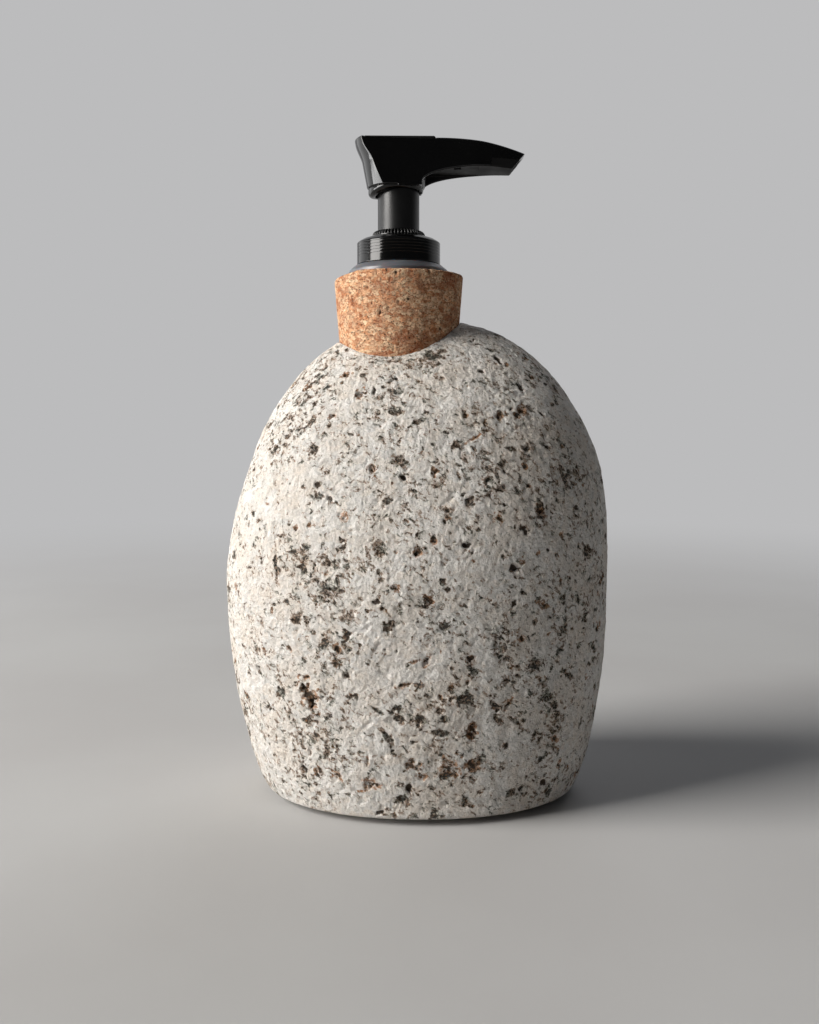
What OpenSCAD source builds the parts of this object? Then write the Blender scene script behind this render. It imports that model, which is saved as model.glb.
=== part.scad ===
// Soap pump dispenser: a pebble, sawn flat and core-drilled, holds the soap. A tapered cork
// stopper closes it and carries a threaded neck, and a lotion pump is screwed onto the neck.
// Millimetres. The pads stand on z = 0, the spout points to +X, and the pebble's middle is
// on the Z axis, so the pump's own axis is at x = pump_x.

/* [Pebble] */
// Width of the pebble at its belly, along X
stone_w = 127.4; // [112:0.2:150]
// Depth of the pebble at its belly, along Y
stone_d = 92; // [84:1:120]
// Height of the widest level above the sawn base
belly_h = 67; // [50:1:85]
// Height of the rounded crown above the sawn base
crown_h = 155.5; // [145:0.5:170]
// How far the crown leans towards the spout side
crown_lean = 3; // [0:0.5:5]
// How far the sawn base lies towards the spout side
base_lean = 1.3; // [0:0.1:3]
// How far below the belly the whole pebble would have closed, before it was sawn
root_depth = 107; // [95:1:140]
// Roundness of the side outline: 2 is an ellipse, more is squarer
side_round = 2.22; // [2:0.02:2.6]
// Roundness of the end outline above the belly
end_round = 1.74; // [1.6:0.02:2.2]
// Roundness of the plan outline
plan_round = 2.12; // [2:0.02:2.6]
// Place of the drilled axis, from the pebble's middle
pump_x = -6.2; // [-10:0.1:0]

/* [Reservoir] */
// Diameter of the drilled reservoir
reservoir_d = 36; // [32:0.5:38]
// Stone left under the reservoir
floor_t = 22; // [14:1:30]

/* [Foot pads] */
// Diameter of each pad
pad_d = 12; // [8:0.5:16]
// Thickness of each pad
pad_t = 2; // [1:0.25:3]
// Spacing of the pads along X
pad_pitch_x = 60; // [44:1:64]
// Spacing of the pads along Y
pad_pitch_y = 40; // [30:1:44]

/* [Cork stopper] */
// Diameter of the cork at its top
cork_d = 42.8; // [41:0.2:46]
// Height of the cork
cork_h = 38; // [32:1:44]
// Taper of the cork's side from upright, in degrees
cork_taper = 4.3; // [3:0.1:5]
// How far the cork stands above the pebble's crown
cork_proud = 13.7; // [8:0.1:18]
// Width of the chamfer round both ends of the cork
cork_chamfer = 0.8; // [0.3:0.1:1.5]
// Clearance between the cork and its seat in the stone, square to the axis
seat_gap = 0.15; // [0.1:0.05:0.4]

/* [Neck adaptor] */
// Diameter of the flange that lies on the cork
flange_d = 32.8; // [30:0.2:36]
// Thickness of the flange's rim
flange_t = 2.5; // [1.5:0.1:3.5]
// Height of the sloping shoulder above the rim
shoulder_h = 2.1; // [1.5:0.1:3]
// Diameter at the top of the sloping shoulder
shoulder_d = 28; // [27.4:0.1:29]
// Outside diameter of the neck between its threads
neck_d = 21.4; // [21:0.1:22]
// Height of the neck above the shoulder
neck_h = 5.9; // [5.3:0.1:8]
// Bore of the neck and its plug
neck_bore_d = 18; // [17.8:0.1:18.6]
// Outside diameter of the plug that is pressed into the cork
plug_d = 24; // [22:0.2:26]
// Length of the plug below the flange
plug_len = 30; // [22:1:32]
// Height of each holding barb on the plug
barb_h = 4; // [3:0.5:5]

/* [Screw collar] */
// Outside diameter of the collar at its open end
collar_d = 27.5; // [26.8:0.1:27.8]
// Inside diameter of the collar, over the threads
collar_bore_d = 24.3; // [24:0.1:24.8]
// Thickness of the collar's top, at its hole
collar_top_t = 1.6; // [1.2:0.1:2.2]
// Height of the domed shoulder of the collar
dome_h = 2.9; // [2.4:0.1:3.2]
// Number of grip rings round the collar
grip_rings = 5; // [3:1:5]
// Spacing of the grip rings
grip_pitch = 0.95; // [0.7:0.05:1]
// Depth of each grip ring
grip_depth = 0.15; // [0.1:0.05:0.3]

/* [Pump body] */
// Outside diameter of the pump's cylinder
cylinder_d = 17.4; // [16.8:0.1:17.5]
// Wall of the pump's cylinder
cylinder_wall = 1.3; // [1:0.05:1.4]
// Length of the cylinder's working bore, below its flange
cylinder_len = 37.5; // [36:0.5:42]
// Diameter of the cylinder's flange, clamped under the collar
rim_d = 22.4; // [21:0.1:23]
// Thickness of the cylinder's flange
rim_t = 0.9; // [0.7:0.1:1.4]
// Thickness of the gasket under that flange
gasket_t = 0.8; // [0.5:0.1:1.2]
// Length of the inlet socket that takes the dip tube
socket_len = 8; // [6:0.5:12]
// Diameter of the guide ring's flange, on top of the collar
guide_d = 17.7; // [17:0.1:18.2]
// Height of the guide ring above the collar
guide_h = 1.4; // [1.2:0.1:2]
// Number of ribs on the guide ring's cone
guide_ribs = 48; // [24:4:52]
// Length of the guide ring's sleeve, inside the cylinder
sleeve_len = 5.4; // [4:0.2:6]

/* [Inlet] */
// Outside diameter of the dip tube
tube_d = 6.4; // [5.6:0.1:7]
// Wall of the dip tube
tube_wall = 0.9; // [0.6:0.05:1.2]
// Gap from the dip tube's end to the reservoir floor
tube_clear = 3; // [2:0.5:8]
// Diameter of the inlet ball
ball_d = 4.8; // [4:0.1:5]
// How far the inlet ball lifts
ball_lift = 1.6; // [1:0.1:2]

/* [Plunger] */
// Travel of the head when it is pressed
stroke = 10.4; // [9:0.1:11]
// Gap left between the skirt and the guide ring's rim when the head is down
down_gap = 1.2; // [1:0.1:2]
// Outside diameter of the stem
stem_d = 13.7; // [13.2:0.1:13.8]
// Wall of the stem's outer tube
stem_wall = 1.2; // [1:0.1:1.4]
// Bore of the stem's inner tube
stem_bore_d = 5.2; // [4.8:0.1:5.6]
// Height of the piston
piston_h = 6.6; // [5:0.2:7]
// How far the valve rod reaches up inside the stem
rod_reach = 16; // [10:1:20]
// Wire diameter of the return spring
wire_d = 1; // [0.7:0.05:1.2]
// Working turns of the return spring
spring_turns = 6; // [4:1:7]

/* [Pump head] */
// Height of the head from its skirt to its top
head_h = 18.4; // [17:0.2:20]
// Diameter of the head's skirt
skirt_d = 18.1; // [17.8:0.1:19]
// Bore of the skirt, which passes over the guide ring
skirt_bore_d = 15.4; // [15.3:0.1:15.8]
// How far the skirt's rim is arched up at its front and back
skirt_arch = 1.6; // [0.5:0.1:2]
// Slope of the skirt's rim, up towards the spout, in degrees
skirt_slope = 3; // [0:0.5:5]
// Diameter of the bell at the top of the head
bell_d = 26.8; // [25:0.2:28.4]
// How far the bell rolls outward just below its top
bell_roll = 1.1; // [0.4:0.1:1.6]
// How far the bell's middle lies behind the stem's axis
bell_back = 0.9; // [0:0.1:1.2]
// Distance between the head's two flat sides, at the height of the spout's arch
head_w = 16.8; // [16:0.1:18]
// Lean of each flat side, in towards the top, in degrees
side_lean = 4.8; // [0:0.2:6]
// Reach of the spout from the stem's axis to its upper lip
spout_reach = 41.2; // [34:0.2:48]
// Drop of the spout's upper lip below the head's top
spout_drop = 4.9; // [3.6:0.1:6]
// Depth of the slanted end of the spout
spout_end_h = 5.1; // [4.6:0.1:6]
// How far the spout's lower lip is set back from its upper lip
spout_setback = 4.4; // [2:0.1:6]
// Width of the spout at its end
spout_end_w = 8; // [6.6:0.1:10]
// Where the spout starts to draw in, from the stem's axis
draw_x = 17; // [14:1:26]
// Highest point of the arch under the spout, from the stem's axis
arch_x = 29; // [24:1:32]
// Thickness of the two cheeks of the spout's arch
cheek_t = 1.4; // [1.2:0.1:2]
// Bore of the spout
spout_bore_d = 3.6; // [3:0.1:4]
// Where the spout's bore turns down towards its end, from the stem's axis
bend_x = 22; // [16:1:28]
// Front edge of the thumb pad, from the stem's axis
thumb_front = 12.9; // [11:0.1:14]
// Thickness of the thumb pad at its front edge
thumb_t = 1.2; // [1:0.1:1.5]
// Thickness of the thumb pad at its back edge
thumb_back_t = 0.4; // [0.3:0.05:0.8]
// How far the thumb pad's front edge stands above the head's back
thumb_proud = 0.6; // [0.3:0.05:0.8]

/* [Hidden] */

$fn = 72;
cut = 1;            // how far a cutter runs past the face it cuts
lay_gap = 0.1;      // between faces that turn or rest on each other
run_gap = 0.06;     // round a sliding fit, on the radius
hold_gap = 0.02;    // round a pressed fit, on the radius
free_gap = 0.3;     // round a loose fit, on the radius

// Heights, from the pads up
base_z = pad_t;
belly_z = base_z + belly_h;
crown_z = base_z + crown_h;
floor_z = base_z + floor_t;
cork_top_z = crown_z + cork_proud;
cork_z = cork_top_z - cork_h;
rim_z = cork_top_z + flange_t;
neck_z = rim_z + shoulder_h;
neck_top_z = neck_z + neck_h;
flange_z = neck_top_z + gasket_t;
collar_z = neck_z + lay_gap;
collar_under_z = flange_z + rim_t + lay_gap;
collar_top_z = collar_under_z + collar_top_t;
guide_z = collar_top_z + lay_gap;
guide_top_z = guide_z + guide_h;

// Guide ring: a thin rim, and a ribbed cone from the rim up to the stem
guide_rim_t = 0.3;
guide_root_d = stem_d + 2 * run_gap + 0.5;
guide_rib_t = 0.5;
guide_rib_h = 0.3;
sleeve_z = guide_z - sleeve_len;

// Head and plunger, with the head up
skirt_z = guide_z + guide_rim_t + down_gap + stroke;
head_top_z = skirt_z + head_h;
skirt_rise = 3;                     // height of the skirt's full round lip
bell_low_r = skirt_d / 2 + 0.4;     // radius of the bell where it leaves the lip
thumb_back = -bell_back - bell_d / 2 + 0.9;
thumb_bow_r = 30;                   // bow of the thumb pad's front edge
arch_rise = 0.4;                    // from the spout's lower lip to the highest point of its arch
arch_z = head_top_z - spout_drop - spout_end_h + arch_rise;
foot_w = head_w + 2 * (arch_z - skirt_z) * tan(side_lean); // between the flat sides, at the skirt's edge
pocket_end = 3;                     // solid length before the highest point of the arch
cavity_h = max(guide_top_z + stroke + free_gap - skirt_z, skirt_rise);
stem_seat = 6.4;                    // depth of the stem in the head, above the cavity
stem_top_z = skirt_z + cavity_h + stem_seat;
inner_wall = 1.2;                   // wall of the stem's inner tube
inner_d = stem_bore_d + 2 * inner_wall;
inner_top_z = stem_top_z + 1.8;
stop_t = 1;
stop_z = sleeve_z - lay_gap - stop_t;
stem_foot = 3;
stem_z = stop_z - stem_foot;
foot_d = 9;

// Cylinder and inlet
bore_d = cylinder_d - 2 * cylinder_wall;
bore_z = flange_z + rim_t - cylinder_len;
counter_d = cylinder_d - 1.3;       // wider top of the bore, which holds the sleeve
sleeve_d = counter_d - 2 * hold_gap;
piston_z = stem_z - lay_gap - piston_h;
rod_flange_t = 1.2;
rod_z = piston_z - lay_gap - rod_flange_t;
coil_in = 0.8;                      // from the bore to the coil
spring_rise = rod_z - bore_z - wire_d - 2 * lay_gap;
well_d = ball_d + 1.2;
lip_t = 1.2;
lip_d = ball_d - 0.6;
passage_d = ball_d - 1.6;
ball_r = ball_d / 2;
// The ball touches its 45 degree seat when its middle is this far above the seat's lower edge
ball_sit = (ball_r + lay_gap) * sqrt(2) - passage_d / 2;
// The ball touches the lip when its middle is this far below the lip
ball_tip = sqrt(pow(ball_r, 2) - pow(lip_d / 2, 2));
seat_z = bore_z - lip_t - ball_tip - ball_lift - lay_gap - ball_sit;
socket_z = seat_z - 1 - socket_len;
socket_d = tube_d + 2 * hold_gap;
tube_top_z = seat_z - 1 - lay_gap;
tube_z = floor_z + tube_clear;

// Pebble mesh
around = 48;
rings_low = 8;
rings_high = 24;

deep_root = 1.35;   // the ends close this much further below the belly than the sides
lean_rate = 1.6;    // the lean is complete at 1 / lean_rate of the way up
lean_start = 0.1;   // share of that lean's rise which lies below the belly

// Share of the full width that is left at t, from 0 at the belly to 1 where the outline closes
function swell(t, n) = pow(max(1 - pow(abs(t), n), 0), 1 / n);
function smooth(t) = let (u = min(max(t, 0), 1)) u * u * (3 - 2 * u);
function up_share(z) = (z - belly_z) / (crown_z - belly_z);
function half_w(z) = stone_w / 2
    * (z > belly_z ? swell(up_share(z), side_round) : swell((belly_z - z) / root_depth, side_round));
function half_d(z) = stone_d / 2
    * (z > belly_z ? swell(up_share(z), end_round)
        : swell((belly_z - z) / (deep_root * root_depth), side_round));
function lean(z) = z > belly_z ? crown_lean * smooth(up_share(z) * lean_rate + lean_start)
    : base_lean * pow((belly_z - z) / belly_h, 2) + crown_lean * smooth(lean_start);
function signed_pow(v, n) = sign(v) * pow(abs(v), n);

ring_zs = [for (i = [0 : rings_low - 1]) base_z + belly_h * i / rings_low,
           for (i = [0 : rings_high - 1]) belly_z + (crown_z - belly_z) * sin(90 * i / rings_high)];
// The pebble's own middle is put on the Z axis
stone_mid = (max([for (z = ring_zs) lean(z) + half_w(z)])
    + min([for (z = ring_zs) lean(z) - half_w(z)])) / 2;

function cork_r(z) = cork_d / 2 - (cork_top_z - z) * tan(cork_taper);

// Ring of points round the pebble at height z
function stone_ring(z) = [for (i = [0 : around - 1]) let (a = 360 * i / around)
    [lean(z) - stone_mid + half_w(z) * signed_pow(cos(a), 2 / plan_round),
     half_d(z) * signed_pow(sin(a), 2 / plan_round), z]];

module pebble() {
    count = len(ring_zs);
    points = [for (z = ring_zs) each stone_ring(z), [lean(crown_z) - stone_mid, 0, crown_z]];
    side = [for (r = [0 : count - 2]) for (i = [0 : around - 1])
        let (j = (i + 1) % around, a = r * around + i, b = r * around + j)
        each [[a, a + around, b + around], [a, b + around, b]]];
    cap = [for (i = [0 : around - 1])
        [(count - 1) * around + i, count * around, (count - 1) * around + (i + 1) % around]];
    base = [[for (i = [0 : around - 1]) i]];
    polyhedron(points = points, faces = concat(base, side, cap), convexity = 4);
}

// Pebble with its reservoir and the tapered seat that is ground for the cork
module stone_body() color("gainsboro") difference() {
    pebble();
    translate([pump_x, 0, floor_z]) cylinder(d = reservoir_d, h = crown_z);
    translate([pump_x, 0, cork_z - cut])
        cylinder(r1 = cork_r(cork_z - cut) + seat_gap, r2 = cork_r(crown_z + cut) + seat_gap,
                 h = crown_z - cork_z + 2 * cut);
}

module foot_pads() color("lightgray") {
    for (x = [-1, 1], y = [-1, 1])
        translate([x * pad_pitch_x / 2, y * pad_pitch_y / 2, 0]) rotate_extrude()
            polygon([[0, 0], [pad_d / 2 - pad_t / 3, 0], [pad_d / 2, pad_t / 2],
                     [pad_d / 2, pad_t], [0, pad_t]]);
}

// Everything below turns about the pump's axis
module on_pump(z = 0) translate([pump_x, 0, z]) children();

module cork_stopper() color("burlywood") on_pump() difference() {
    rotate_extrude() polygon([
        [0, cork_z], [cork_r(cork_z) - cork_chamfer, cork_z],
        [cork_r(cork_z + cork_chamfer), cork_z + cork_chamfer],
        [cork_r(cork_top_z - cork_chamfer), cork_top_z - cork_chamfer],
        [cork_d / 2 - cork_chamfer, cork_top_z], [0, cork_top_z]]);
    translate([0, 0, cork_z - cut]) cylinder(d = plug_d + 2 * hold_gap, h = cork_h + 2 * cut);
}

// Moulded neck: a barbed plug, a flange with a sloping shoulder, and the neck
module neck_adaptor() color("whitesmoke") on_pump() {
    barbs = floor((plug_len - 2) / barb_h);
    plug_r = plug_d / 2;
    root_r = plug_r - 0.6;
    lip = 0.5;          // rounding of the flange's rim
    lead = 0.8;         // lead-in at the plug's end
    rotate_extrude() polygon(concat(
        [[neck_bore_d / 2, cork_top_z - plug_len], [plug_r - lead, cork_top_z - plug_len]],
        [for (i = [0 : barbs - 1]) let (z = cork_top_z - plug_len + i * barb_h)
            each [[root_r, z + 0.05 * barb_h], [plug_r, z + 0.85 * barb_h], [root_r, z + 0.95 * barb_h]]],
        [[root_r, cork_top_z], [flange_d / 2 - lip, cork_top_z], [flange_d / 2, cork_top_z + lip],
         [flange_d / 2, rim_z - lip], [flange_d / 2 - lip, rim_z],
         [shoulder_d / 2, neck_z], [neck_d / 2, neck_z],
         [neck_d / 2, neck_top_z - lip], [neck_d / 2 - lip, neck_top_z], [neck_bore_d / 2, neck_top_z]]));
}

// Collar with a domed shoulder and fine grip rings on the upper half of its wall
module screw_collar() color("#161616") on_pump() {
    wall_r = collar_d / 2;
    dome_z = collar_top_z - dome_h;
    hole_r = sleeve_d / 2 + free_gap;
    dome_r = guide_d / 2 + free_gap;
    groove = 0.2;       // half the width of a grip ring
    dome_bow = 1.25;    // 1 is an ellipse, more draws the shoulder's corner tighter
    grooves = [for (i = [grip_rings - 1 : -1 : 0]) let (z = dome_z - 2 * groove - i * grip_pitch)
        each [[wall_r, z - groove], [wall_r - grip_depth, z], [wall_r, z + groove]]];
    dome = [for (i = [0 : 8]) let (a = 90 * i / 8)
        [dome_r + (wall_r - dome_r) * pow(cos(a), dome_bow), dome_z + dome_h * pow(sin(a), dome_bow)]];
    rotate_extrude() polygon(concat(
        [[collar_bore_d / 2, collar_z], [wall_r, collar_z]], grooves, dome,
        [[hole_r, collar_top_z], [hole_r, collar_under_z], [collar_bore_d / 2, collar_under_z]]));
}

// Ribbed cone on top of the collar, with the sleeve that guides the stem
module guide_ring() color("#1c1c1c") on_pump() {
    hole_r = stem_d / 2 + run_gap;
    root_r = guide_root_d / 2;
    rim_z = guide_z + guide_rim_t;
    rib_out = guide_d / 2 - guide_rim_t / 2;
    rotate_extrude() polygon([
        [hole_r, sleeve_z], [sleeve_d / 2, sleeve_z], [sleeve_d / 2, guide_z], [guide_d / 2, guide_z],
        [guide_d / 2, rim_z], [root_r, guide_top_z], [hole_r, guide_top_z]]);
    for (i = [0 : guide_ribs - 1]) rotate([90, 0, 360 * i / guide_ribs])
        linear_extrude(guide_rib_t, center = true) polygon([
            [root_r - 0.1, guide_z + 0.1], [rib_out, guide_z + 0.1], [rib_out, rim_z + guide_rib_h],
            [root_r + guide_rib_h, guide_top_z - 0.1], [root_r - 0.1, guide_top_z - 0.1]]);
}

module neck_gasket() color("dimgray") on_pump(neck_top_z) difference() {
    cylinder(d = neck_d - 0.6, h = gasket_t);
    translate([0, 0, -cut]) cylinder(d = cylinder_d + 2 * run_gap, h = gasket_t + 2 * cut);
}

// Pump cylinder: flange, working bore, ball well with its seat, and the dip tube's socket
module pump_housing() color("ghostwhite") on_pump() {
    top_z = flange_z + rim_t;
    step_z = sleeve_z - lay_gap;
    root_z = bore_z - 2;
    socket_r = socket_d / 2 + 1.3;
    rotate_extrude() polygon([
        [bore_d / 2, bore_z], [bore_d / 2, step_z], [counter_d / 2, step_z], [counter_d / 2, top_z],
        [rim_d / 2, top_z], [rim_d / 2, flange_z], [cylinder_d / 2, flange_z],
        [cylinder_d / 2, root_z], [socket_r, root_z - (cylinder_d / 2 - socket_r) * 0.6],
        [socket_r, socket_z], [socket_d / 2, socket_z], [socket_d / 2, seat_z - 1],
        [passage_d / 2, seat_z - 1], [passage_d / 2, seat_z],
        [well_d / 2, seat_z + (well_d - passage_d) / 2], [well_d / 2, bore_z - lip_t],
        [lip_d / 2, bore_z - lip_t], [lip_d / 2, bore_z]]);
}

// Dip tube with its lower end cut on a slant, so that it can't seal on the floor
module dip_tube() color("white") on_pump() difference() {
    translate([0, 0, tube_z]) cylinder(d = tube_d, h = tube_top_z - tube_z);
    translate([0, 0, tube_z - cut]) cylinder(d = tube_d - 2 * tube_wall, h = tube_top_z - tube_z + 2 * cut);
    translate([-tube_d / 2, 0, tube_z]) rotate([0, 40, 0])
        translate([-2 * tube_d, -tube_d, -3 * tube_d]) cube([6 * tube_d, 2 * tube_d, 3 * tube_d]);
}

module inlet_ball() color("silver") on_pump(seat_z + ball_sit) sphere(d = ball_d);

// Height of the coil after t turns: the closed turns climb one wire each
function coil_climb(t) = t < 1 ? wire_d * t
    : t > spring_turns + 1 ? spring_rise - wire_d * (spring_turns + 2 - t)
    : wire_d + (spring_rise - 2 * wire_d) * (t - 1) / spring_turns;

// Compression spring with a closed turn at each end
module return_spring() color("silver") on_pump() {
    per_turn = 14;
    sides = 6;
    coil_r = (bore_d - wire_d) / 2 - coil_in;
    steps = (spring_turns + 2) * per_turn;
    low_z = bore_z + lay_gap + wire_d / 2;
    points = [for (s = [0 : steps]) for (k = [0 : sides - 1])
        let (t = s / per_turn, b = 360 * k / sides, r = coil_r + wire_d / 2 * cos(b))
        [r * cos(360 * t), r * sin(360 * t), low_z + coil_climb(t) + wire_d / 2 * sin(b)]];
    side = [for (s = [0 : steps - 1]) for (k = [0 : sides - 1])
        let (j = (k + 1) % sides, a = s * sides + k, b = s * sides + j)
        each [[a, a + sides, b + sides], [a, b + sides, b]]];
    ends = [[for (k = [0 : sides - 1]) k], [for (k = [sides - 1 : -1 : 0]) steps * sides + k]];
    polyhedron(points = points, faces = concat(side, ends), convexity = 8);
}

// Piston with a sealing lip at each end
module piston() color("white") on_pump(piston_z) {
    lip_r = bore_d / 2 - run_gap;
    rotate_extrude() polygon([
        [stem_bore_d / 2, 0], [lip_r - 1.4, 0], [lip_r - 0.9, 0.9], [lip_r - 0.3, 0], [lip_r, 0.2],
        [lip_r, 1], [lip_r - 0.9, 2], [lip_r - 0.9, piston_h - 2], [lip_r, piston_h - 1],
        [lip_r, piston_h - 0.2], [lip_r - 0.3, piston_h], [lip_r - 0.9, piston_h - 0.9],
        [lip_r - 1.4, piston_h], [stem_bore_d / 2, piston_h]]);
}

// Ribbed rod through the piston, with the flange that the spring pushes on
module valve_rod() color("white") on_pump() {
    rod_top_z = stem_z + rod_reach;
    boss_h = 2.4;
    boss_d = bore_d - 2 * coil_in - 2 * wire_d - 2 * free_gap;
    rib_r = stem_bore_d / 2 - hold_gap;
    rib_out = 1.2;
    translate([0, 0, rod_z]) cylinder(d = bore_d - 1.6, h = rod_flange_t);
    translate([0, 0, rod_z - boss_h]) cylinder(d = boss_d, h = boss_h + rod_flange_t / 2);
    translate([0, 0, rod_z]) cylinder(d = stem_bore_d - 2 * rib_out, h = rod_top_z - rod_z);
    intersection() {
        translate([0, 0, rod_z]) cylinder(r = rib_r - run_gap, h = rod_top_z - rod_z);
        for (a = [0, 90]) rotate([0, 0, a])
            translate([-rib_r, -0.4, rod_z]) cube([2 * rib_r, 0.8, rod_top_z - rod_z]);
    }
}

// Stem: an outer tube that shows, an inner tube that carries the soap, and a foot that joins them
module stem() color("#232323") on_pump() {
    outer_r = stem_d / 2;
    stop_r = bore_d / 2 - free_gap / 2;
    rotate_extrude() polygon([
        [stem_bore_d / 2, stem_z], [foot_d / 2, stem_z], [foot_d / 2, stop_z], [stop_r, stop_z],
        [stop_r, stop_z + stop_t], [outer_r, stop_z + stop_t], [outer_r, stem_top_z],
        [outer_r - stem_wall, stem_top_z], [outer_r - stem_wall, stop_z + 1.4],
        [inner_d / 2, stop_z + 1.4], [inner_d / 2, inner_top_z], [stem_bore_d / 2, inner_top_z]]);
}

// Radius of the head's bell at a share t of its height: a plain cone that rolls outward near its top
function bell_r(t) = bell_low_r + (bell_d / 2 - bell_roll - bell_low_r) * t
    + bell_roll * smooth((t - 0.53) / 0.4);

module bell() translate([-bell_back, 0, 0]) rotate_extrude() {
    steps = 16;
    low_z = skirt_z + skirt_rise;
    edge = 0.6;
    polygon(concat([[0, low_z]],
        [for (i = [0 : steps]) let (t = i / steps)
            [bell_r(t), low_z + (head_top_z - edge - low_z) * t]],
        [[bell_r(1) - edge / 2, head_top_z - edge / 4],
         [bell_r(1) - 1.5 * edge, head_top_z], [0, head_top_z]]));
}

// Full round lip of the skirt, rolled in at its lower edge
module skirt_lip() translate([-bell_back, 0, skirt_z]) rotate_extrude() {
    lip_r = skirt_d / 2;
    roll = 1.5;
    polygon(concat([[0, 0]],
        [for (i = [0 : 6]) let (a = 90 * i / 6)
            [lip_r - roll + roll * sin(a), 1.5 * roll - 1.5 * roll * cos(a)]],
        [[lip_r, skirt_rise - 0.4], [lip_r - 0.7, skirt_rise], [0, skirt_rise]]));
}

// Spout seen from the side: an arched back, a slanted end and a hollowed underside
module spout_side() {
    back_z = head_top_z - thumb_proud;
    tip_z = head_top_z - spout_drop;
    run = spout_reach - thumb_front;
    back_r = (pow(run, 2) + pow(back_z - tip_z, 2)) / (2 * (back_z - tip_z));
    back_arc = asin(run / back_r);
    low_x = spout_reach - spout_setback;
    root_x = skirt_d / 2 - 1.4;
    root_z = skirt_z + skirt_rise + 0.6;
    polygon(concat(
        [[0, back_z]],
        [for (i = [0 : 10]) let (a = back_arc * i / 10)
            [thumb_front + back_r * sin(a), back_z - back_r * (1 - cos(a))]],
        [for (i = [0 : 3]) let (t = i / 4) [low_x + (arch_x - low_x) * t, arch_z - arch_rise * cos(90 * t)]],
        [for (i = [0 : 12]) let (a = 90 * i / 12)
            [arch_x - (arch_x - root_x) * sin(a), root_z + (arch_z - root_z) * cos(a)]],
        [[0, root_z]]));
}

// Room between the head's two flat sides, which lean in towards the top
module head_sides() translate([-bell_d, 0, 0]) rotate([90, 0, 90]) linear_extrude(bell_d + spout_reach + 1) {
    high = foot_w / 2 - (head_h + cut) * tan(side_lean);
    polygon([[-foot_w / 2, skirt_z], [foot_w / 2, skirt_z],
        [high, head_top_z + cut], [-high, head_top_z + cut]]);
}

// Half width of the spout at x, from the flat sides of the head to the spout's end
function spout_half(x) = foot_w / 2
    - (foot_w - spout_end_w) / 2 * pow(max(x - draw_x, 0) / (spout_reach - draw_x), 1.5);

module spout_plan() {
    steps = 12;
    xs = [for (i = [0 : steps]) draw_x + (spout_reach + cut - draw_x) * i / steps];
    polygon(concat([[0, -foot_w / 2]], [for (x = xs) [x, -spout_half(x)]],
        [for (i = [steps : -1 : 0]) [xs[i], spout_half(xs[i])]], [[0, foot_w / 2]]));
}

// Space under the spout, between the two cheeks of its arch
module arch_pocket() {
    deep = arch_z + arch_rise / 2 - skirt_z;
    translate([0, 0, skirt_z]) linear_extrude(deep) difference() {
        translate([0, cheek_t - head_w / 2]) square([arch_x - pocket_end, head_w - 2 * cheek_t]);
        translate([-bell_back, 0]) circle(r = bell_low_r + free_gap);
    }
}

// Outline of the thumb pad, wider than the head's flat sides: round at the back, gently bowed at the front
module thumb_outline(gap, past) {
    half = head_w / 2 + past;
    back_r = -bell_back - thumb_back + gap;
    back_a = asin(half / back_r);
    bow_a = asin(half / thumb_bow_r);
    polygon(concat(
        [for (i = [-8 : 8]) let (a = 180 + back_a * i / 8) [back_r * cos(a) - bell_back, back_r * sin(a)]],
        [for (i = [-4 : 4]) let (a = bow_a * i / 4)
            [thumb_front + gap - thumb_bow_r * (1 - cos(a)), thumb_bow_r * sin(a)]]));
}

// Wedge that the thumb pad fills: level on top, its floor falling towards the spout
module thumb_wedge(gap, past) intersection() {
    fall = (thumb_t - thumb_back_t) / (thumb_front - thumb_back);
    back_z = head_top_z - thumb_back_t + fall * thumb_back;
    translate([0, 0, head_top_z - thumb_t - cut])
        linear_extrude(thumb_t + cut + past) thumb_outline(gap, past);
    translate([0, head_w, 0]) rotate([90, 0, 0]) linear_extrude(2 * head_w) polygon([
        [-bell_d, back_z + fall * bell_d], [bell_d, back_z - fall * bell_d],
        [bell_d, head_top_z + past], [-bell_d, head_top_z + past]]);
}

module pump_head() color("#111111") on_pump() {
    mid_x = spout_reach - spout_setback / 2;
    mid_z = head_top_z - spout_drop - spout_end_h / 2;
    bend_z = head_top_z - thumb_t - spout_bore_d;
    arch_r = (pow(skirt_d / 2, 2) + pow(skirt_arch, 2)) / (2 * skirt_arch);
    slant = atan((bend_z - mid_z) / (mid_x - bend_x));
    difference() {
        union() {
            intersection() {
                bell();
                head_sides();
            }
            intersection() {
                translate([0, foot_w, 0]) rotate([90, 0, 0]) linear_extrude(2 * foot_w) spout_side();
                translate([0, 0, skirt_z]) linear_extrude(head_h + cut) spout_plan();
                head_sides();
            }
            intersection() {
                skirt_lip();
                translate([-skirt_d / 2 - bell_back, 0, skirt_z]) rotate([0, 90 - skirt_slope, 0])
                    translate([-arch_r, 0, -skirt_d]) cylinder(r = arch_r, h = 3 * skirt_d, $fn = 180);
            }
        }
        arch_pocket();
        translate([0, 0, skirt_z - cut]) cylinder(d = skirt_bore_d, h = cavity_h + cut);
        translate([0, 0, skirt_z]) cylinder(d = stem_d + 2 * hold_gap, h = stem_top_z + hold_gap - skirt_z);
        translate([0, 0, skirt_z]) cylinder(d = inner_d + 2 * hold_gap, h = inner_top_z + hold_gap - skirt_z);
        translate([0, 0, skirt_z]) cylinder(d = spout_bore_d + 0.8, h = bend_z + spout_bore_d / 2 - skirt_z);
        translate([0, 0, bend_z]) rotate([0, 90, 0]) cylinder(d = spout_bore_d, h = bend_x + free_gap);
        translate([bend_x, 0, bend_z]) rotate([0, 90 + slant, 0])
            cylinder(d = spout_bore_d - 0.2, h = spout_reach - bend_x);
        thumb_wedge(lay_gap, cut);
    }
}

module thumb_pad() color("#141414") on_pump() intersection() {
    thumb_wedge(0, 0);
    head_sides();
}

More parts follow.
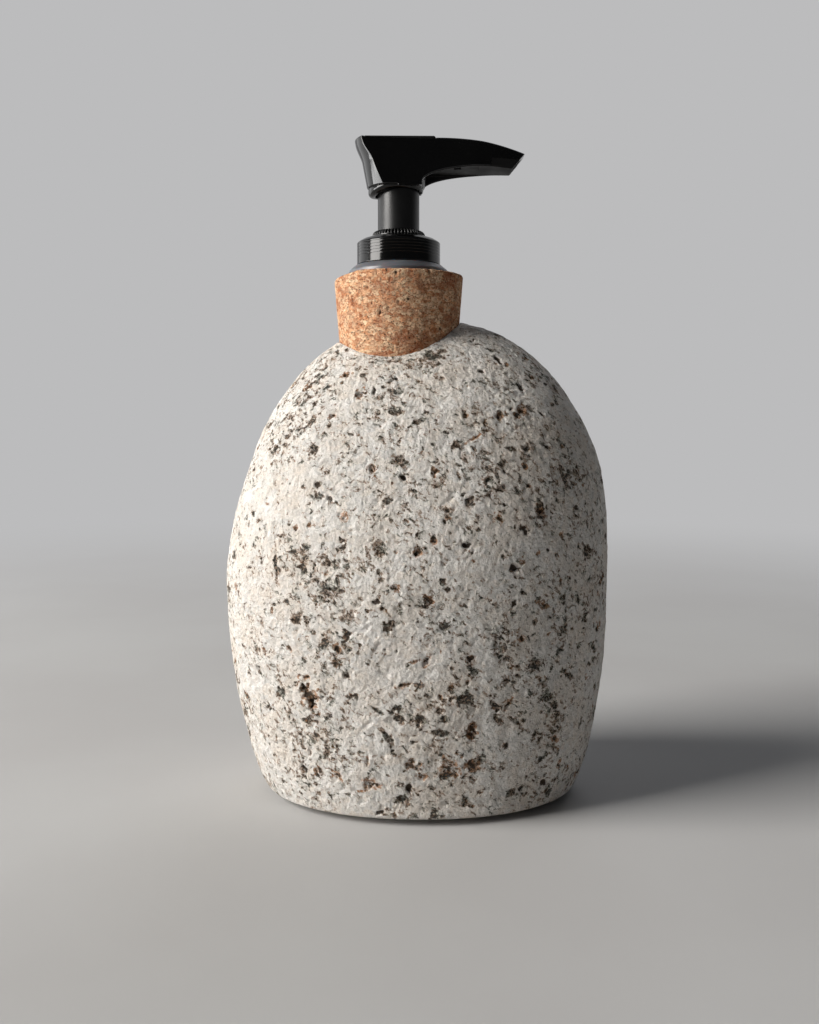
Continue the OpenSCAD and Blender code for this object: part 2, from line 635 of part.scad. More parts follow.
stone_body();
foot_pads();
cork_stopper();
neck_adaptor();
screw_collar();
guide_ring();
neck_gasket();
pump_housing();
dip_tube();
inlet_ball();
return_spring();
piston();
valve_rod();
stem();
pump_head();
thumb_pad();
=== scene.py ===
import math

import bpy
import numpy as np
from mathutils import Euler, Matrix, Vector


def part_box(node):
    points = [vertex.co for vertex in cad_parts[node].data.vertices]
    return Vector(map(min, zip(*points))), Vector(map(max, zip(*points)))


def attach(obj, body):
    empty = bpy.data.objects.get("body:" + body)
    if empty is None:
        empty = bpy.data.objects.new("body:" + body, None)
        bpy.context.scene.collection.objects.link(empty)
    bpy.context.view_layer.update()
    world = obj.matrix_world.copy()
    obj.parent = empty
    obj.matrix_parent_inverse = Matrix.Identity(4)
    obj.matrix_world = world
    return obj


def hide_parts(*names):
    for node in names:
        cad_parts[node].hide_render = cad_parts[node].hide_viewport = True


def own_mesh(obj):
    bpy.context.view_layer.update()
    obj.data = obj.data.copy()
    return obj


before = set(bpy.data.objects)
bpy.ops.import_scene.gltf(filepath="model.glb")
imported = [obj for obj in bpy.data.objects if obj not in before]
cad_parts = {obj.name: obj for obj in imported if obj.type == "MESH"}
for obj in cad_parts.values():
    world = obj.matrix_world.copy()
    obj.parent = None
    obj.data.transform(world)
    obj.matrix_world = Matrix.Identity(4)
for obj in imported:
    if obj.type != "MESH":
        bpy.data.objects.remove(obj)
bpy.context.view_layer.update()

print("frame loaded,", len(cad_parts), "parts")


def boxMm(node):
    return [(np.array(corner) * 1000).tolist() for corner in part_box(node)]


stemLow, stemHigh = boxMm("stem")
pumpX = (stemLow[0] + stemHigh[0]) / 2        # the pump's axis, in mm


# ---- meshes, all worked out in millimetres ----

def makePiece(name, points, faces, material, body,
              caps=(), materialIds=None, normals=None, fields=None):
    # faces are quads and caps triangles; fields are values on the points that a material reads
    points = np.asarray(points, np.float32) / 1000
    corners = np.concatenate([np.ravel(faces), np.ravel(caps)]).astype(np.int32)
    starts = np.concatenate([np.arange(len(faces)) * 4, len(faces) * 4 + np.arange(len(caps)) * 3])
    mesh = bpy.data.meshes.new(name)
    mesh.vertices.add(len(points))
    mesh.vertices.foreach_set("co", points.ravel())
    mesh.loops.add(len(corners))
    mesh.loops.foreach_set("vertex_index", corners)
    mesh.polygons.add(len(starts))
    mesh.polygons.foreach_set("loop_start", starts.astype(np.int32))
    for each in material if isinstance(material, list) else [material]:
        mesh.materials.append(each)
    if materialIds is not None:
        mesh.polygons.foreach_set("material_index", np.asarray(materialIds, np.int32))
    mesh.polygons.foreach_set("use_smooth", np.ones(len(starts), bool))
    mesh.update(calc_edges=True)
    mesh.validate()
    for key, values in (fields or {}).items():
        mesh.attributes.new(key, "FLOAT", "POINT").data.foreach_set("value", np.asarray(values, np.float32))
    if normals is not None:
        mesh.normals_split_custom_set_from_vertices(normals)
    piece = bpy.data.objects.new(name, mesh)
    bpy.context.scene.collection.objects.link(piece)
    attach(piece, body)
    return piece


def gridFaces(rows, columns):
    # quads of a grid of rows, each row running round the piece
    down, across = np.meshgrid(np.arange(rows - 1), np.arange(columns), indexing="ij")
    here, right = down * columns + across, down * columns + (across + 1) % columns
    return np.stack([here, right, right + columns, here + columns], axis=-1).reshape(-1, 4)


def turned(outline, columns):
    # points and quads of a closed outline of (r, z), turned about the pump's axis
    angle = np.linspace(0, 2 * math.pi, columns, endpoint=False)
    grid = np.zeros((len(outline), columns, 3))
    grid[..., 0] = pumpX + outline[:, :1] * np.cos(angle)
    grid[..., 1] = outline[:, :1] * np.sin(angle)
    grid[..., 2] = outline[:, 1:]
    return grid, gridFaces(len(outline) + 1, columns) % (len(outline) * columns)


def smoothStep(value, low=0.0, high=1.0):
    share = np.clip((value - low) / (high - low), 0, 1)
    return share * share * (3 - 2 * share)


latticeTurn = np.array(Euler((0.61, 0.47, 0.83)).to_matrix())


def latticeNoise(points, size, seed):
    # soft random field from -1 to 1, with bumps of about this size in mm
    values = np.random.default_rng(seed).uniform(-1, 1, (32, 32, 32))
    scaled = points @ latticeTurn / size + seed * 0.37
    cell = np.floor(scaled).astype(int)
    share = smoothStep(scaled - cell)
    total = 0
    for i in (0, 1):
        for j in (0, 1):
            for k in (0, 1):
                weight = ((share[..., 0] if i else 1 - share[..., 0])
                          * (share[..., 1] if j else 1 - share[..., 1])
                          * (share[..., 2] if k else 1 - share[..., 2]))
                total = total + weight * values[(cell[..., 0] + i) % 32, (cell[..., 1] + j) % 32,
                                                (cell[..., 2] + k) % 32]
    return total


def gridNormals(grid):
    # outward normals of a closed grid whose rows run round the z axis, from the top down
    around = np.roll(grid, -1, axis=1) - np.roll(grid, 1, axis=1)
    down = np.gradient(grid, axis=0)
    normal = np.cross(down, around)
    length = np.linalg.norm(normal, axis=-1, keepdims=True)
    return normal / np.maximum(length, 1e-9)


def bend(start, corner, end, t):
    # point at t on the curve that rounds a corner
    return (1 - t) ** 2 * start + 2 * t * (1 - t) * corner + t * t * end


def roundedProfile(corners, steps=4):
    # closed outline from (r, z, rounding) corners
    made = []
    count = len(corners)
    for i in range(count):
        before, here, after = (np.array(corners[(i + k) % count][:2], float) for k in (-1, 0, 1))
        inward, outward = before - here, after - here
        own = min(corners[i][2], 0.45 * np.linalg.norm(inward), 0.45 * np.linalg.norm(outward))
        start = here + inward / np.linalg.norm(inward) * own
        end = here + outward / np.linalg.norm(outward) * own
        made += [bend(start, here, end, k / steps) for k in range(steps + 1)]
    return np.array(made)


def lathe(name, corners, material, body, columns=160):
    # ring turned about the pump's axis from an outline that runs against the clock
    grid, faces = turned(roundedProfile(corners), columns)
    piece = makePiece(name, grid.reshape(-1, 3), faces, material, body)
    piece.modifiers.new("weightedNormal", "WEIGHTED_NORMAL").keep_sharp = True
    return piece


# ---- materials ----

def linearColour(hexText):
    channels = [int(hexText[i:i + 2], 16) / 255 for i in (1, 3, 5)]
    return [c / 12.92 if c <= 0.04045 else ((c + 0.055) / 1.055) ** 2.4 for c in channels] + [1.0]


def feed(tree, node, links):
    for key, socket in links.items():
        tree.links.new(socket, node.inputs[key])


def addNode(tree, kind, settings=None, links=None):
    node = tree.nodes.new("ShaderNode" + kind)
    for key, value in (settings or {}).items():
        if isinstance(key, str) and hasattr(node, key):
            setattr(node, key, value)
        else:
            node.inputs[key].default_value = value
    feed(tree, node, links or {})
    return node


def startMaterial(name, settings):
    material = bpy.data.materials.new(name)
    material.use_nodes = True
    tree = material.node_tree
    shader = next(n for n in tree.nodes if n.type == "BSDF_PRINCIPLED")
    for key, value in settings.items():
        shader.inputs[key].default_value = value
    return material, tree, shader, addNode(tree, "TexCoord").outputs["Object"]


def blendColours(tree, share, first, second, mode="MIX"):
    # first and second are sRGB hex text or sockets
    node = addNode(tree, "Mix", {"data_type": "RGBA", "blend_type": mode, "clamp_factor": True})
    for index, value in ((0, share), (6, first), (7, second)):
        if isinstance(value, str):
            node.inputs[index].default_value = linearColour(value)
        elif isinstance(value, (int, float)):
            node.inputs[index].default_value = value
        else:
            tree.links.new(value, node.inputs[index])
    return node.outputs[2]


def stretched(tree, value, low, high, newLow=0.0, newHigh=1.0):
    node = addNode(tree, "MapRange", {"interpolation_type": "SMOOTHSTEP", "From Min": low, "From Max": high,
                                      "To Min": newLow, "To Max": newHigh}, {"Value": value})
    return node.outputs["Result"]


def layered(tree, body, layers):
    # colours laid over body; each row: source, from, to, least and most share, colour
    for source, low, high, least, most, colour in layers:
        body = blendColours(tree, stretched(tree, source, low, high, least, most), body, colour)
    return body


def toned(tree, body, tone):
    grey = addNode(tree, "CombineColor", {}, {"Red": tone, "Green": tone, "Blue": tone}).outputs["Color"]
    return blendColours(tree, 1.0, body, grey, "MULTIPLY")


def reckon(tree, operation, *sockets):
    return addNode(tree, "Math", {"operation": operation}, dict(enumerate(sockets))).outputs[0]


def weighed(tree, value, weight, rest):
    # value times weight, plus rest
    return addNode(tree, "Math", {"operation": "MULTIPLY_ADD", 1: weight}, {0: value, 2: rest}).outputs[0]


def noiseAt(tree, sizeMm, where, detail=2.0, rough=0.5, swirl=0.0):
    return addNode(tree, "TexNoise", {"Scale": 1000 / sizeMm, "Detail": detail, "Roughness": rough,
                                      "Distortion": swirl}, {"Vector": where}).outputs["Fac"]


def cellsAt(tree, sizeMm, where, **settings):
    return addNode(tree, "TexVoronoi", {"Scale": 1000 / sizeMm, **settings}, {"Vector": where}).outputs


def cellTones(tree, cells):
    return addNode(tree, "SeparateColor", {}, {"Color": cells["Color"]}).outputs


def fieldOf(tree, name):
    return addNode(tree, "Attribute", {"attribute_name": name}).outputs["Fac"]


def bentPlace(tree, place, waveMm, detail, shiftMm):
    # coordinates that wander a little, so that no grain has a straight edge
    wander = addNode(tree, "TexNoise", {"Scale": 1000 / waveMm, "Detail": detail}, {"Vector": place})
    centred = addNode(tree, "VectorMath", {"operation": "SUBTRACT", 1: (0.5, 0.5, 0.5)},
                      {0: wander.outputs["Color"]})
    shift = addNode(tree, "VectorMath", {"operation": "SCALE", "Scale": shiftMm / 1000},
                    {0: centred.outputs[0]})
    return addNode(tree, "VectorMath", {"operation": "ADD"}, {0: place, 1: shift.outputs[0]}).outputs[0]


def addBump(tree, shader, height, strength, depthMm):
    bump = addNode(tree, "Bump", {"Strength": strength, "Distance": depthMm / 1000}, {"Height": height})
    feed(tree, shader, {"Normal": bump.outputs["Normal"]})


# River-worn granite: white feldspar and quartz grains with black mica flecks, iron stains and small pits.
# It reads as a chalky, sugary surface, because the tumbling leaves every grain a little proud or sunk.
graniteLook = {
    "grainMm": 2.2,
    "sugarMm": 0.45,
    "fleckMm": 1.5,
    "speckMm": 0.8,
    "clusterMm": 6.0,
    "driftMm": 22.0,
    "white": "#efebe5",
    "cream": "#e2d5c6",
    "quartz": "#c9c6c1",
    "mica": "#2c2b24",
    "micaGreen": "#646450",
    "micaBrown": "#85613a",
    "rust": "#ad7540",
    # dark brown: the tone of some mica flecks, and also the painted shade laid into the pits
    "brownFleckAndPitShade": "#3a2a19",
}


def makeGranite(name, reliefStrength):
    look = graniteLook
    material, tree, shader, place = startMaterial(name, {"IOR": 1.54, "Specular IOR Level": 0.35})
    bent = bentPlace(tree, place, 1.2, 3.0, 1.1)
    # the flecks lie along the old bedding, which slopes down to the right
    bedded = addNode(tree, "Mapping", {"vector_type": "TEXTURE", "Rotation": (0.0, math.radians(35), 0.0),
                                       "Scale": (1.5, 1.0, 1.0)}, {"Vector": bent}).outputs[0]

    # feldspar and quartz: grains of close tones, some glassy grey, in slow clouds
    grainTone = cellTones(tree, cellsAt(tree, look["grainMm"], bent))
    body = layered(tree, look["white"], [
        (grainTone["Red"], 0.3, 0.95, 0, 0.5, look["cream"]),
        (grainTone["Green"], 0.6, 0.85, 0, 0.45, look["quartz"]),
        (noiseAt(tree, 14.0, place, 3.0, 0.6), 0.45, 0.68, 0, 0.5, look["cream"]),
        (noiseAt(tree, 2.2, bent, 4.0, 0.65), 0.5, 0.68, 0, 0.4, look["quartz"]),
    ])
    sugar = noiseAt(tree, look["sugarMm"], place, 4.0, 0.7)
    body = toned(tree, body, stretched(tree, sugar, 0.28, 0.7, 0.82, 1.08))

    # mica: fine ragged flecks, thick in some places and rare in others, and thickest on the marks
    fleck = noiseAt(tree, look["fleckMm"], bedded, 4.0, 0.68, 0.5)
    speck = noiseAt(tree, look["speckMm"], bent, 3.0, 0.6, 0.3)
    stain = noiseAt(tree, 1.6, bent, 4.0, 0.7)
    crowd = weighed(tree, noiseAt(tree, look["clusterMm"], place), 0.34, fleck)
    crowd = weighed(tree, noiseAt(tree, look["driftMm"], place, 1.0), 0.22, crowd)
    crowd = weighed(tree, fieldOf(tree, "mica"), 0.24, crowd)
    # a fleck is a bundle of small plates, with paler grains left between them
    micaMark = reckon(tree, "MULTIPLY", stretched(tree, crowd, 0.88, 0.95),
                      stretched(tree, speck, 0.42, 0.52))
    specks = stretched(tree, weighed(tree, crowd, 0.6, speck), 1.09, 1.19, 0.0, 0.9)
    rusty = weighed(tree, crowd, 0.5, weighed(tree, fieldOf(tree, "rust"), 0.22, stain))
    halo = blendColours(tree, stretched(tree, noiseAt(tree, 3.4, place, 2.0, 0.65), 0.38, 0.56),
                        look["micaGreen"], look["micaBrown"])
    body = layered(tree, body, [(crowd, 0.80, 0.91, 0, 0.75, halo),
                                (rusty, 1.05, 1.2, 0, 0.75, look["rust"])])
    body = blendColours(tree, specks, body, halo)
    fleckColour = blendColours(tree, stretched(tree, stain, 0.45, 0.6), look["mica"], look["brownFleckAndPitShade"])
    body = blendColours(tree, micaMark, body, fleckColour)
    # painted shade: where the surface is dented for a pit or crack, its colour is darkened towards dark brown
    pitShadeMask = weighed(tree, fieldOf(tree, "pit"), 0.62, fleck)
    body = layered(tree, body, [(pitShadeMask, 0.76, 1.0, 0, 0.95, look["brownFleckAndPitShade"])])

    feed(tree, shader, {"Base Color": body,
                        "Roughness": stretched(tree, grainTone["Blue"], 0.2, 0.9, 0.5, 0.85)})
    relief = weighed(tree, micaMark, -0.25, noiseAt(tree, 1.2, place, 5.0, 0.66))
    addBump(tree, shader, weighed(tree, specks, -0.12, relief), reliefStrength, 1.1)
    return material


granite = makeGranite("riverWornGranite", 1.0)
graniteCored = makeGranite("coredGranite", 0.35)

# Agglomerated cork: granules of bark pressed together with a little glue and ground to a taper.
# It reads as warm tan chips of many tones, matt, with dark bark specks and tiny holes between chips.
corkLook = {
    "chipMm": 1.6,
    "crumbMm": 0.7,
    "flatten": 1.7,
    "light": "#ffdcb4",
    "tan": "#ecae80",
    "brown": "#a25730",
    "bark": "#2f190d",
}


def makeCork():
    look = corkLook
    material, tree, shader, place = startMaterial("agglomeratedCork", {"Roughness": 0.85, "IOR": 1.45,
                                                                       "Specular IOR Level": 0.25})
    bent = bentPlace(tree, place, 1.4, 2.0, 1.8)
    # the press laid the granules down flat, so they are wider than they are tall
    laid = addNode(tree, "VectorMath", {"operation": "MULTIPLY", 1: (1.0, 1.0, look["flatten"])},
                   {0: bent}).outputs[0]
    chipTone = cellTones(tree, cellsAt(tree, look["chipMm"], laid))
    seams = cellsAt(tree, look["chipMm"], laid, feature="DISTANCE_TO_EDGE")["Distance"]
    crumbs = cellsAt(tree, look["crumbMm"], laid)
    crumbTone = cellTones(tree, crumbs)
    fibre = noiseAt(tree, 0.45, laid, 3.0, 0.7, 0.6)
    shard = noiseAt(tree, 0.8, laid, 3.0, 0.6, 0.4)
    body = layered(tree, look["light"], [
        (chipTone["Red"], 0.2, 0.95, 0, 1, look["tan"]),
        (chipTone["Green"], 0.66, 0.92, 0, 0.6, look["brown"]),
        (crumbTone["Red"], 0.66, 0.86, 0, 0.65, look["brown"]),
        (crumbTone["Green"], 0.8, 0.9, 0, 0.6, look["light"]),
        (noiseAt(tree, 7.0, laid, 3.0, 0.6), 0.43, 0.65, 0, 0.6, look["brown"]),
    ])
    body = toned(tree, body, stretched(tree, fibre, 0.3, 0.72, 0.7, 1.14))
    body = layered(tree, body, [(seams, 0.0, 0.08, 0.35, 0, look["brown"]),
                                (shard, 0.6, 0.7, 0, 0.7, look["bark"])])
    bark = reckon(tree, "MULTIPLY", stretched(tree, crumbTone["Blue"], 0.9, 0.93),
                  stretched(tree, crumbs["Distance"], 0.28, 0.45, 1.0, 0.0))
    body = blendColours(tree, bark, body, look["bark"])
    # painted shade: the small holes are darkened towards the bark colour
    body = layered(tree, body, [(fieldOf(tree, "holeShade"), 0.25, 0.9, 0, 0.9, look["bark"])])
    feed(tree, shader, {"Base Color": body})
    relief = weighed(tree, stretched(tree, seams, 0.0, 0.15), 0.4, fibre)
    relief = weighed(tree, stretched(tree, shard, 0.58, 0.7), -1.0, relief)
    addBump(tree, shader, relief, 0.9, 0.3)
    return material


cork = makeCork()


def makePlastic(name, colour, deepColour, roughness, grainMm, grainDepthMm, extra=None):
    # moulded polypropylene: two close tones, a faint skin texture and roughness that wanders with handling
    material, tree, shader, place = startMaterial(name, {"IOR": 1.49, **(extra or {})})
    drift = noiseAt(tree, 9.0, place, 3.0)
    feed(tree, shader, {
        "Base Color": blendColours(tree, stretched(tree, drift, 0.3, 0.7), colour, deepColour),
        "Roughness": stretched(tree, drift, 0.25, 0.75, roughness * 0.85, roughness * 1.2)})
    addBump(tree, shader, noiseAt(tree, grainMm, place), 0.5, grainDepthMm)
    return material


# Black polypropylene from a polished mould: deep black with clean, slightly soft reflections.
glossBlack = makePlastic("polishedBlackPolypropylene", "#040404", "#060606", 0.12, 0.9, 0.003,
                         {"Specular IOR Level": 0.4})
# The grip ribs come off the same mould with a duller skin, so each one carries a short grey glint.
ribBlack = makePlastic("dullBlackPolypropylene", "#050505", "#080808", 0.36, 0.4, 0.004,
                       {"Specular IOR Level": 0.6})
# Its core side, inside the arch of the spout, is left as the cutter made it: black with a grey bloom.
coreBlack = makePlastic("coreSideBlackPolypropylene", "#070707", "#0b0b0b", 0.6, 0.5, 0.01,
                        {"Specular IOR Level": 0.2})
# The stem is the same plastic from a fine-blasted mould: a broad soft highlight instead of a mirror.
satinBlack = makePlastic("satinBlackPolypropylene", "#070707", "#0a0a0a", 0.34, 0.35, 0.01,
                         {"Specular IOR Level": 0.4})
# Natural polypropylene without pigment: milky, lets some light into it, so its edges glow.
frosted = makePlastic("frostedNaturalPolypropylene", "#7a7b81", "#6d6e74", 0.34, 0.5, 0.01,
                      {"Transmission Weight": 0.35, "Subsurface Weight": 0.3, "Subsurface Scale": 0.004})
# The pump's inner parts are the same resin, thinner and cleaner.
milkyNatural = makePlastic("milkyNaturalPolypropylene", "#e2e3e4", "#d8dadb", 0.3, 0.6, 0.008,
                           {"Transmission Weight": 0.25, "Subsurface Weight": 0.2, "Subsurface Scale": 0.003})
# Silicone bumper pads: clear-grey rubber with a dusty skin.
siliconeRubber = makePlastic("dustyGreySilicone", "#a7a8a6", "#9b9c9a", 0.55, 0.8, 0.02)
# Foamed polyethylene washer: matt and fine-celled.
foamedPolyethylene = makePlastic("foamedPolyethylene", "#d9d8d2", "#cfcec7", 0.7, 0.4, 0.04)


def makeSteel():
    # Drawn stainless spring wire: bright, with fine lines along the draw that spread the highlight.
    material, tree, shader, place = startMaterial("drawnStainlessSteel", {"Metallic": 1.0})
    lines = noiseAt(tree, 0.3, place, 3.0)
    feed(tree, shader, {"Base Color": blendColours(tree, lines, "#b9b8b4", "#d6d5d1"),
                        "Roughness": stretched(tree, lines, 0.3, 0.7, 0.18, 0.34)})
    return material


steel = makeSteel()
print("materials made")


# ---- the pebble ----

stoneLow = boxMm("stone_body")[0]
corkLow, corkHigh = boxMm("cork_stopper")
tubeLow = boxMm("dip_tube")[0]

pebble = {
    "width": 127.4,
    "depth": 92.0,
    "baseZ": stoneLow[2],
    "bellyH": 67.0,
    "crownH": 155.5,
    "crownLean": 3.0,
    "baseLean": 1.3,
    "rootDepth": 107.0,
    "rootDeep": 1.35,
    "sideRound": 2.22,
    "endRound": 1.74,
    "planRound": 2.12,
    "seatTaper": 4.3,
    "seatGap": 0.15,
    "seatEndZ": corkLow[2] - 1,
    "corkR": (corkHigh[0] - corkLow[0]) / 2,
    "boreR": 18.0,
    "floorZ": tubeLow[2] - 3.0,
    "columns": 960,
    "outsideRows": 400,
    "arris": 1.3,
    "rimRound": 0.5,
    "mm2PerStray": 60,
    "chipMm": 2.4,
    "chipLeast": 0.35,
    "chipGrowth": 2.2,
    "flakeReach": 1.4,
}


def halfSizes(z):
    p = pebble
    belly, crown = p["baseZ"] + p["bellyH"], p["baseZ"] + p["crownH"]
    up = np.clip((z - belly) / (crown - belly), 0, 1)
    down = np.clip((belly - z) / p["rootDepth"], 0, 1)
    deeper = np.clip((belly - z) / (p["rootDeep"] * p["rootDepth"]), 0, 1)
    swell = lambda t, n: np.maximum(1 - t ** n, 0) ** (1 / n)
    width = p["width"] / 2 * np.where(z > belly, swell(up, p["sideRound"]), swell(down, p["sideRound"]))
    depth = p["depth"] / 2 * np.where(z > belly, swell(up, p["endRound"]), swell(deeper, p["sideRound"]))
    lean = np.where(z > belly, p["crownLean"] * smoothStep(up * 1.6 + 0.1),
                    p["baseLean"] * ((belly - z) / p["bellyH"]) ** 2 + p["crownLean"] * smoothStep(0.1))
    return width, depth, lean


def pebbleMiddle():
    z = np.linspace(pebble["baseZ"], pebble["baseZ"] + pebble["crownH"] - 0.5, 400)
    width, depth, lean = halfSizes(z)
    return (np.max(lean + width) + np.min(lean - width)) / 2


leanMiddle = pebbleMiddle()


def outlineRadius(angle, z):
    # distance from the pump's axis to the pebble's side, in this direction and at this height
    width, depth, lean = halfSizes(z)
    width, depth = np.maximum(width, 1e-6), np.maximum(depth, 1e-6)
    centre = lean - leanMiddle
    low, high = np.zeros_like(z + angle), np.full_like(z + angle, 90.0)
    for _ in range(26):
        middle = (low + high) / 2
        x = pumpX + middle * np.cos(angle) - centre
        y = middle * np.sin(angle)
        outside = (np.abs(x / width) ** pebble["planRound"] + np.abs(y / depth) ** pebble["planRound"]) > 1
        high = np.where(outside, middle, high)
        low = np.where(outside, low, middle)
    return (low + high) / 2


def seatRadius(z):
    return (pebble["corkR"] - (corkHigh[2] - z) * math.tan(math.radians(pebble["seatTaper"]))
            + pebble["seatGap"])


# The larger pits, mica books and stains on the face that shows: x, z, length, width, tilt, depth, kind.
# Kinds: p pit, m mica, r rusty pit, g grey-green patch, c crack.
frontMarks = [
    (-33.7, 40.8, 8.8, 4.8, -60, 1.2, "r"), (-35.4, 43.4, 3.6, 2.4, -50, 0.7, "p"),
    (-32.6, 37.8, 2.6, 2.3, 0, 1.1, "p"), (-42.3, 40.5, 3.8, 3.0, 10, 0.5, "m"),
    (-35.1, 16.2, 3.8, 1.9, -65, 0.9, "p"), (-30.7, 16.9, 2.4, 2.0, 40, 0.5, "r"),
    (-21.5, 47.2, 2.8, 1.9, -30, 0.8, "p"), (-39.6, 54.2, 2.0, 1.7, 0, 0.4, "r"),
    (-25.1, 51.3, 2.3, 1.7, -30, 0.4, "r"), (-21.5, 60.1, 3.0, 1.4, 30, 0.3, "r"),
    (-6.9, 74.6, 2.5, 2.4, 0, 0.7, "r"), (-13.2, 70.1, 2.9, 1.5, -20, 0.5, "p"),
    (-10.8, 68.4, 1.4, 1.2, 0, 0.5, "r"), (-9.4, 62.7, 4.2, 2.0, -70, 0.4, "m"),
    (-28.5, 57.2, 3.8, 2.0, 75, 0.2, "g"), (-4.5, 44.9, 4.0, 2.0, -8, 0.4, "r"),
    (-12.1, 37.0, 7.0, 0.9, -32, 0.4, "c"), (-6.0, 34.4, 4.0, 2.0, -45, 0.4, "m"),
    (-8.9, 28.8, 5.4, 2.2, -50, 0.3, "m"), (0.6, 34.4, 3.6, 2.8, 10, 0.5, "m"),
    (-14.5, 13.8, 4.6, 3.4, 10, 0.7, "r"), (-3.1, 12.1, 3.6, 2.0, -70, 1.0, "p"),
    (-4.7, 8.8, 3.6, 3.0, 20, 0.4, "m"), (-18.5, 132.7, 3.0, 2.6, 60, 0.9, "r"),
    (-22.5, 138.8, 2.8, 2.2, 50, 0.5, "r"), (-26.7, 126.0, 2.4, 1.9, 20, 0.7, "r"),
    (-7.0, 126.7, 4.4, 1.5, -18, 0.4, "m"), (-0.4, 123.9, 3.2, 2.6, 20, 0.4, "m"),
    (-4.3, 107.2, 3.2, 2.5, -20, 1.3, "p"), (-5.5, 112.4, 5.4, 3.2, -40, 0.2, "g"),
    (-13.5, 110.2, 3.0, 2.0, -60, 0.4, "r"), (-30.4, 105.1, 2.2, 1.5, -70, 0.5, "p"),
    (-31.5, 101.3, 2.6, 2.0, -60, 0.4, "m"), (-26.8, 100.6, 4.0, 1.9, -60, 0.8, "p"),
    (-43.7, 80.8, 11.0, 0.8, -80, 0.5, "c"), (-34.8, 79.6, 3.6, 2.2, -50, 0.3, "m"),
    (-0.2, 84.8, 3.2, 2.4, 30, 0.8, "r"), (-1.1, 80.0, 7.4, 3.2, 8, 0.2, "g"),
    (25.8, 143.3, 5.0, 2.4, -60, 0.8, "p"), (20.0, 139.4, 2.8, 1.6, -30, 0.6, "p"),
    (32.4, 134.5, 4.2, 2.4, -60, 0.8, "p"), (32.0, 127.3, 2.8, 2.4, 20, 0.8, "r"),
    (17.3, 118.9, 5.6, 1.0, 30, 0.3, "r"), (33.4, 115.7, 2.8, 2.2, 50, 1.0, "p"),
    (39.8, 116.6, 2.8, 1.7, -40, 0.9, "p"), (46.5, 108.2, 11.5, 9.0, 30, 0.1, "g"),
    (21.2, 106.5, 2.6, 2.2, 50, 0.6, "m"), (15.3, 100.0, 3.6, 2.6, 30, 0.5, "m"),
    (37.7, 96.1, 3.6, 2.8, 0, 0.4, "m"), (32.9, 90.7, 3.8, 2.0, -60, 0.7, "p"),
    (13.7, 87.4, 3.0, 2.6, -20, 1.4, "p"), (29.3, 80.0, 3.6, 2.8, -30, 1.5, "p"),
    (3.7, 70.5, 2.6, 2.2, 10, 0.9, "r"), (7.6, 63.0, 3.4, 2.8, -30, 0.3, "m"),
    (29.1, 69.2, 2.6, 2.2, 0, 0.6, "p"), (38.5, 68.4, 5.4, 2.0, -20, 0.5, "r"),
    (2.3, 52.6, 4.8, 2.6, 60, 0.9, "r"), (16.1, 53.0, 2.8, 1.8, 30, 0.7, "r"),
    (31.4, 58.4, 3.6, 2.4, -30, 0.5, "r"), (44.0, 53.4, 2.8, 2.0, 0, 0.5, "m"),
    (47.7, 44.8, 8.0, 1.6, -40, 0.5, "c"), (14.0, 40.4, 5.2, 2.8, -15, 0.4, "m"),
    (23.4, 38.3, 3.8, 2.4, -30, 0.4, "m"), (27.4, 37.4, 4.0, 1.6, 60, 0.9, "r"),
    (29.6, 33.0, 7.0, 0.9, -40, 0.4, "c"), (16.2, 30.1, 3.9, 3.0, 60, 1.3, "r"),
    (6.7, 30.6, 4.0, 1.8, -10, 0.5, "m"), (27.5, 25.1, 2.6, 2.0, 60, 0.9, "p"),
    (10.0, 18.8, 6.4, 4.0, -30, 0.3, "r"), (28.5, 9.0, 4.4, 2.0, 40, 0.4, "m"),
]
# each kind's share of mica colour, rust stain and painted pit shade, the last darkening the dent
markStrength = {"p": (0.25, 0.35, 1.0), "m": (1.0, 0.12, 0.15), "r": (0.55, 1.0, 0.65), "g": (0.52, 0.0, 0.0),
                "c": (0.8, 0.25, 0.4)}


# Relief of the tumbled surface. Swells: height and size in mm, seed. Dents: also the noise at full depth.
pebbleSwells = [(0.55, 26.0, 11), (0.22, 9.0, 12), (0.12, 3.6, 13), (0.11, 1.7, 14), (0.06, 0.9, 15)]
pebbleDents = [(0.3, 2.4, 16, 0.9), (0.2, 1.3, 17, 0.85)]


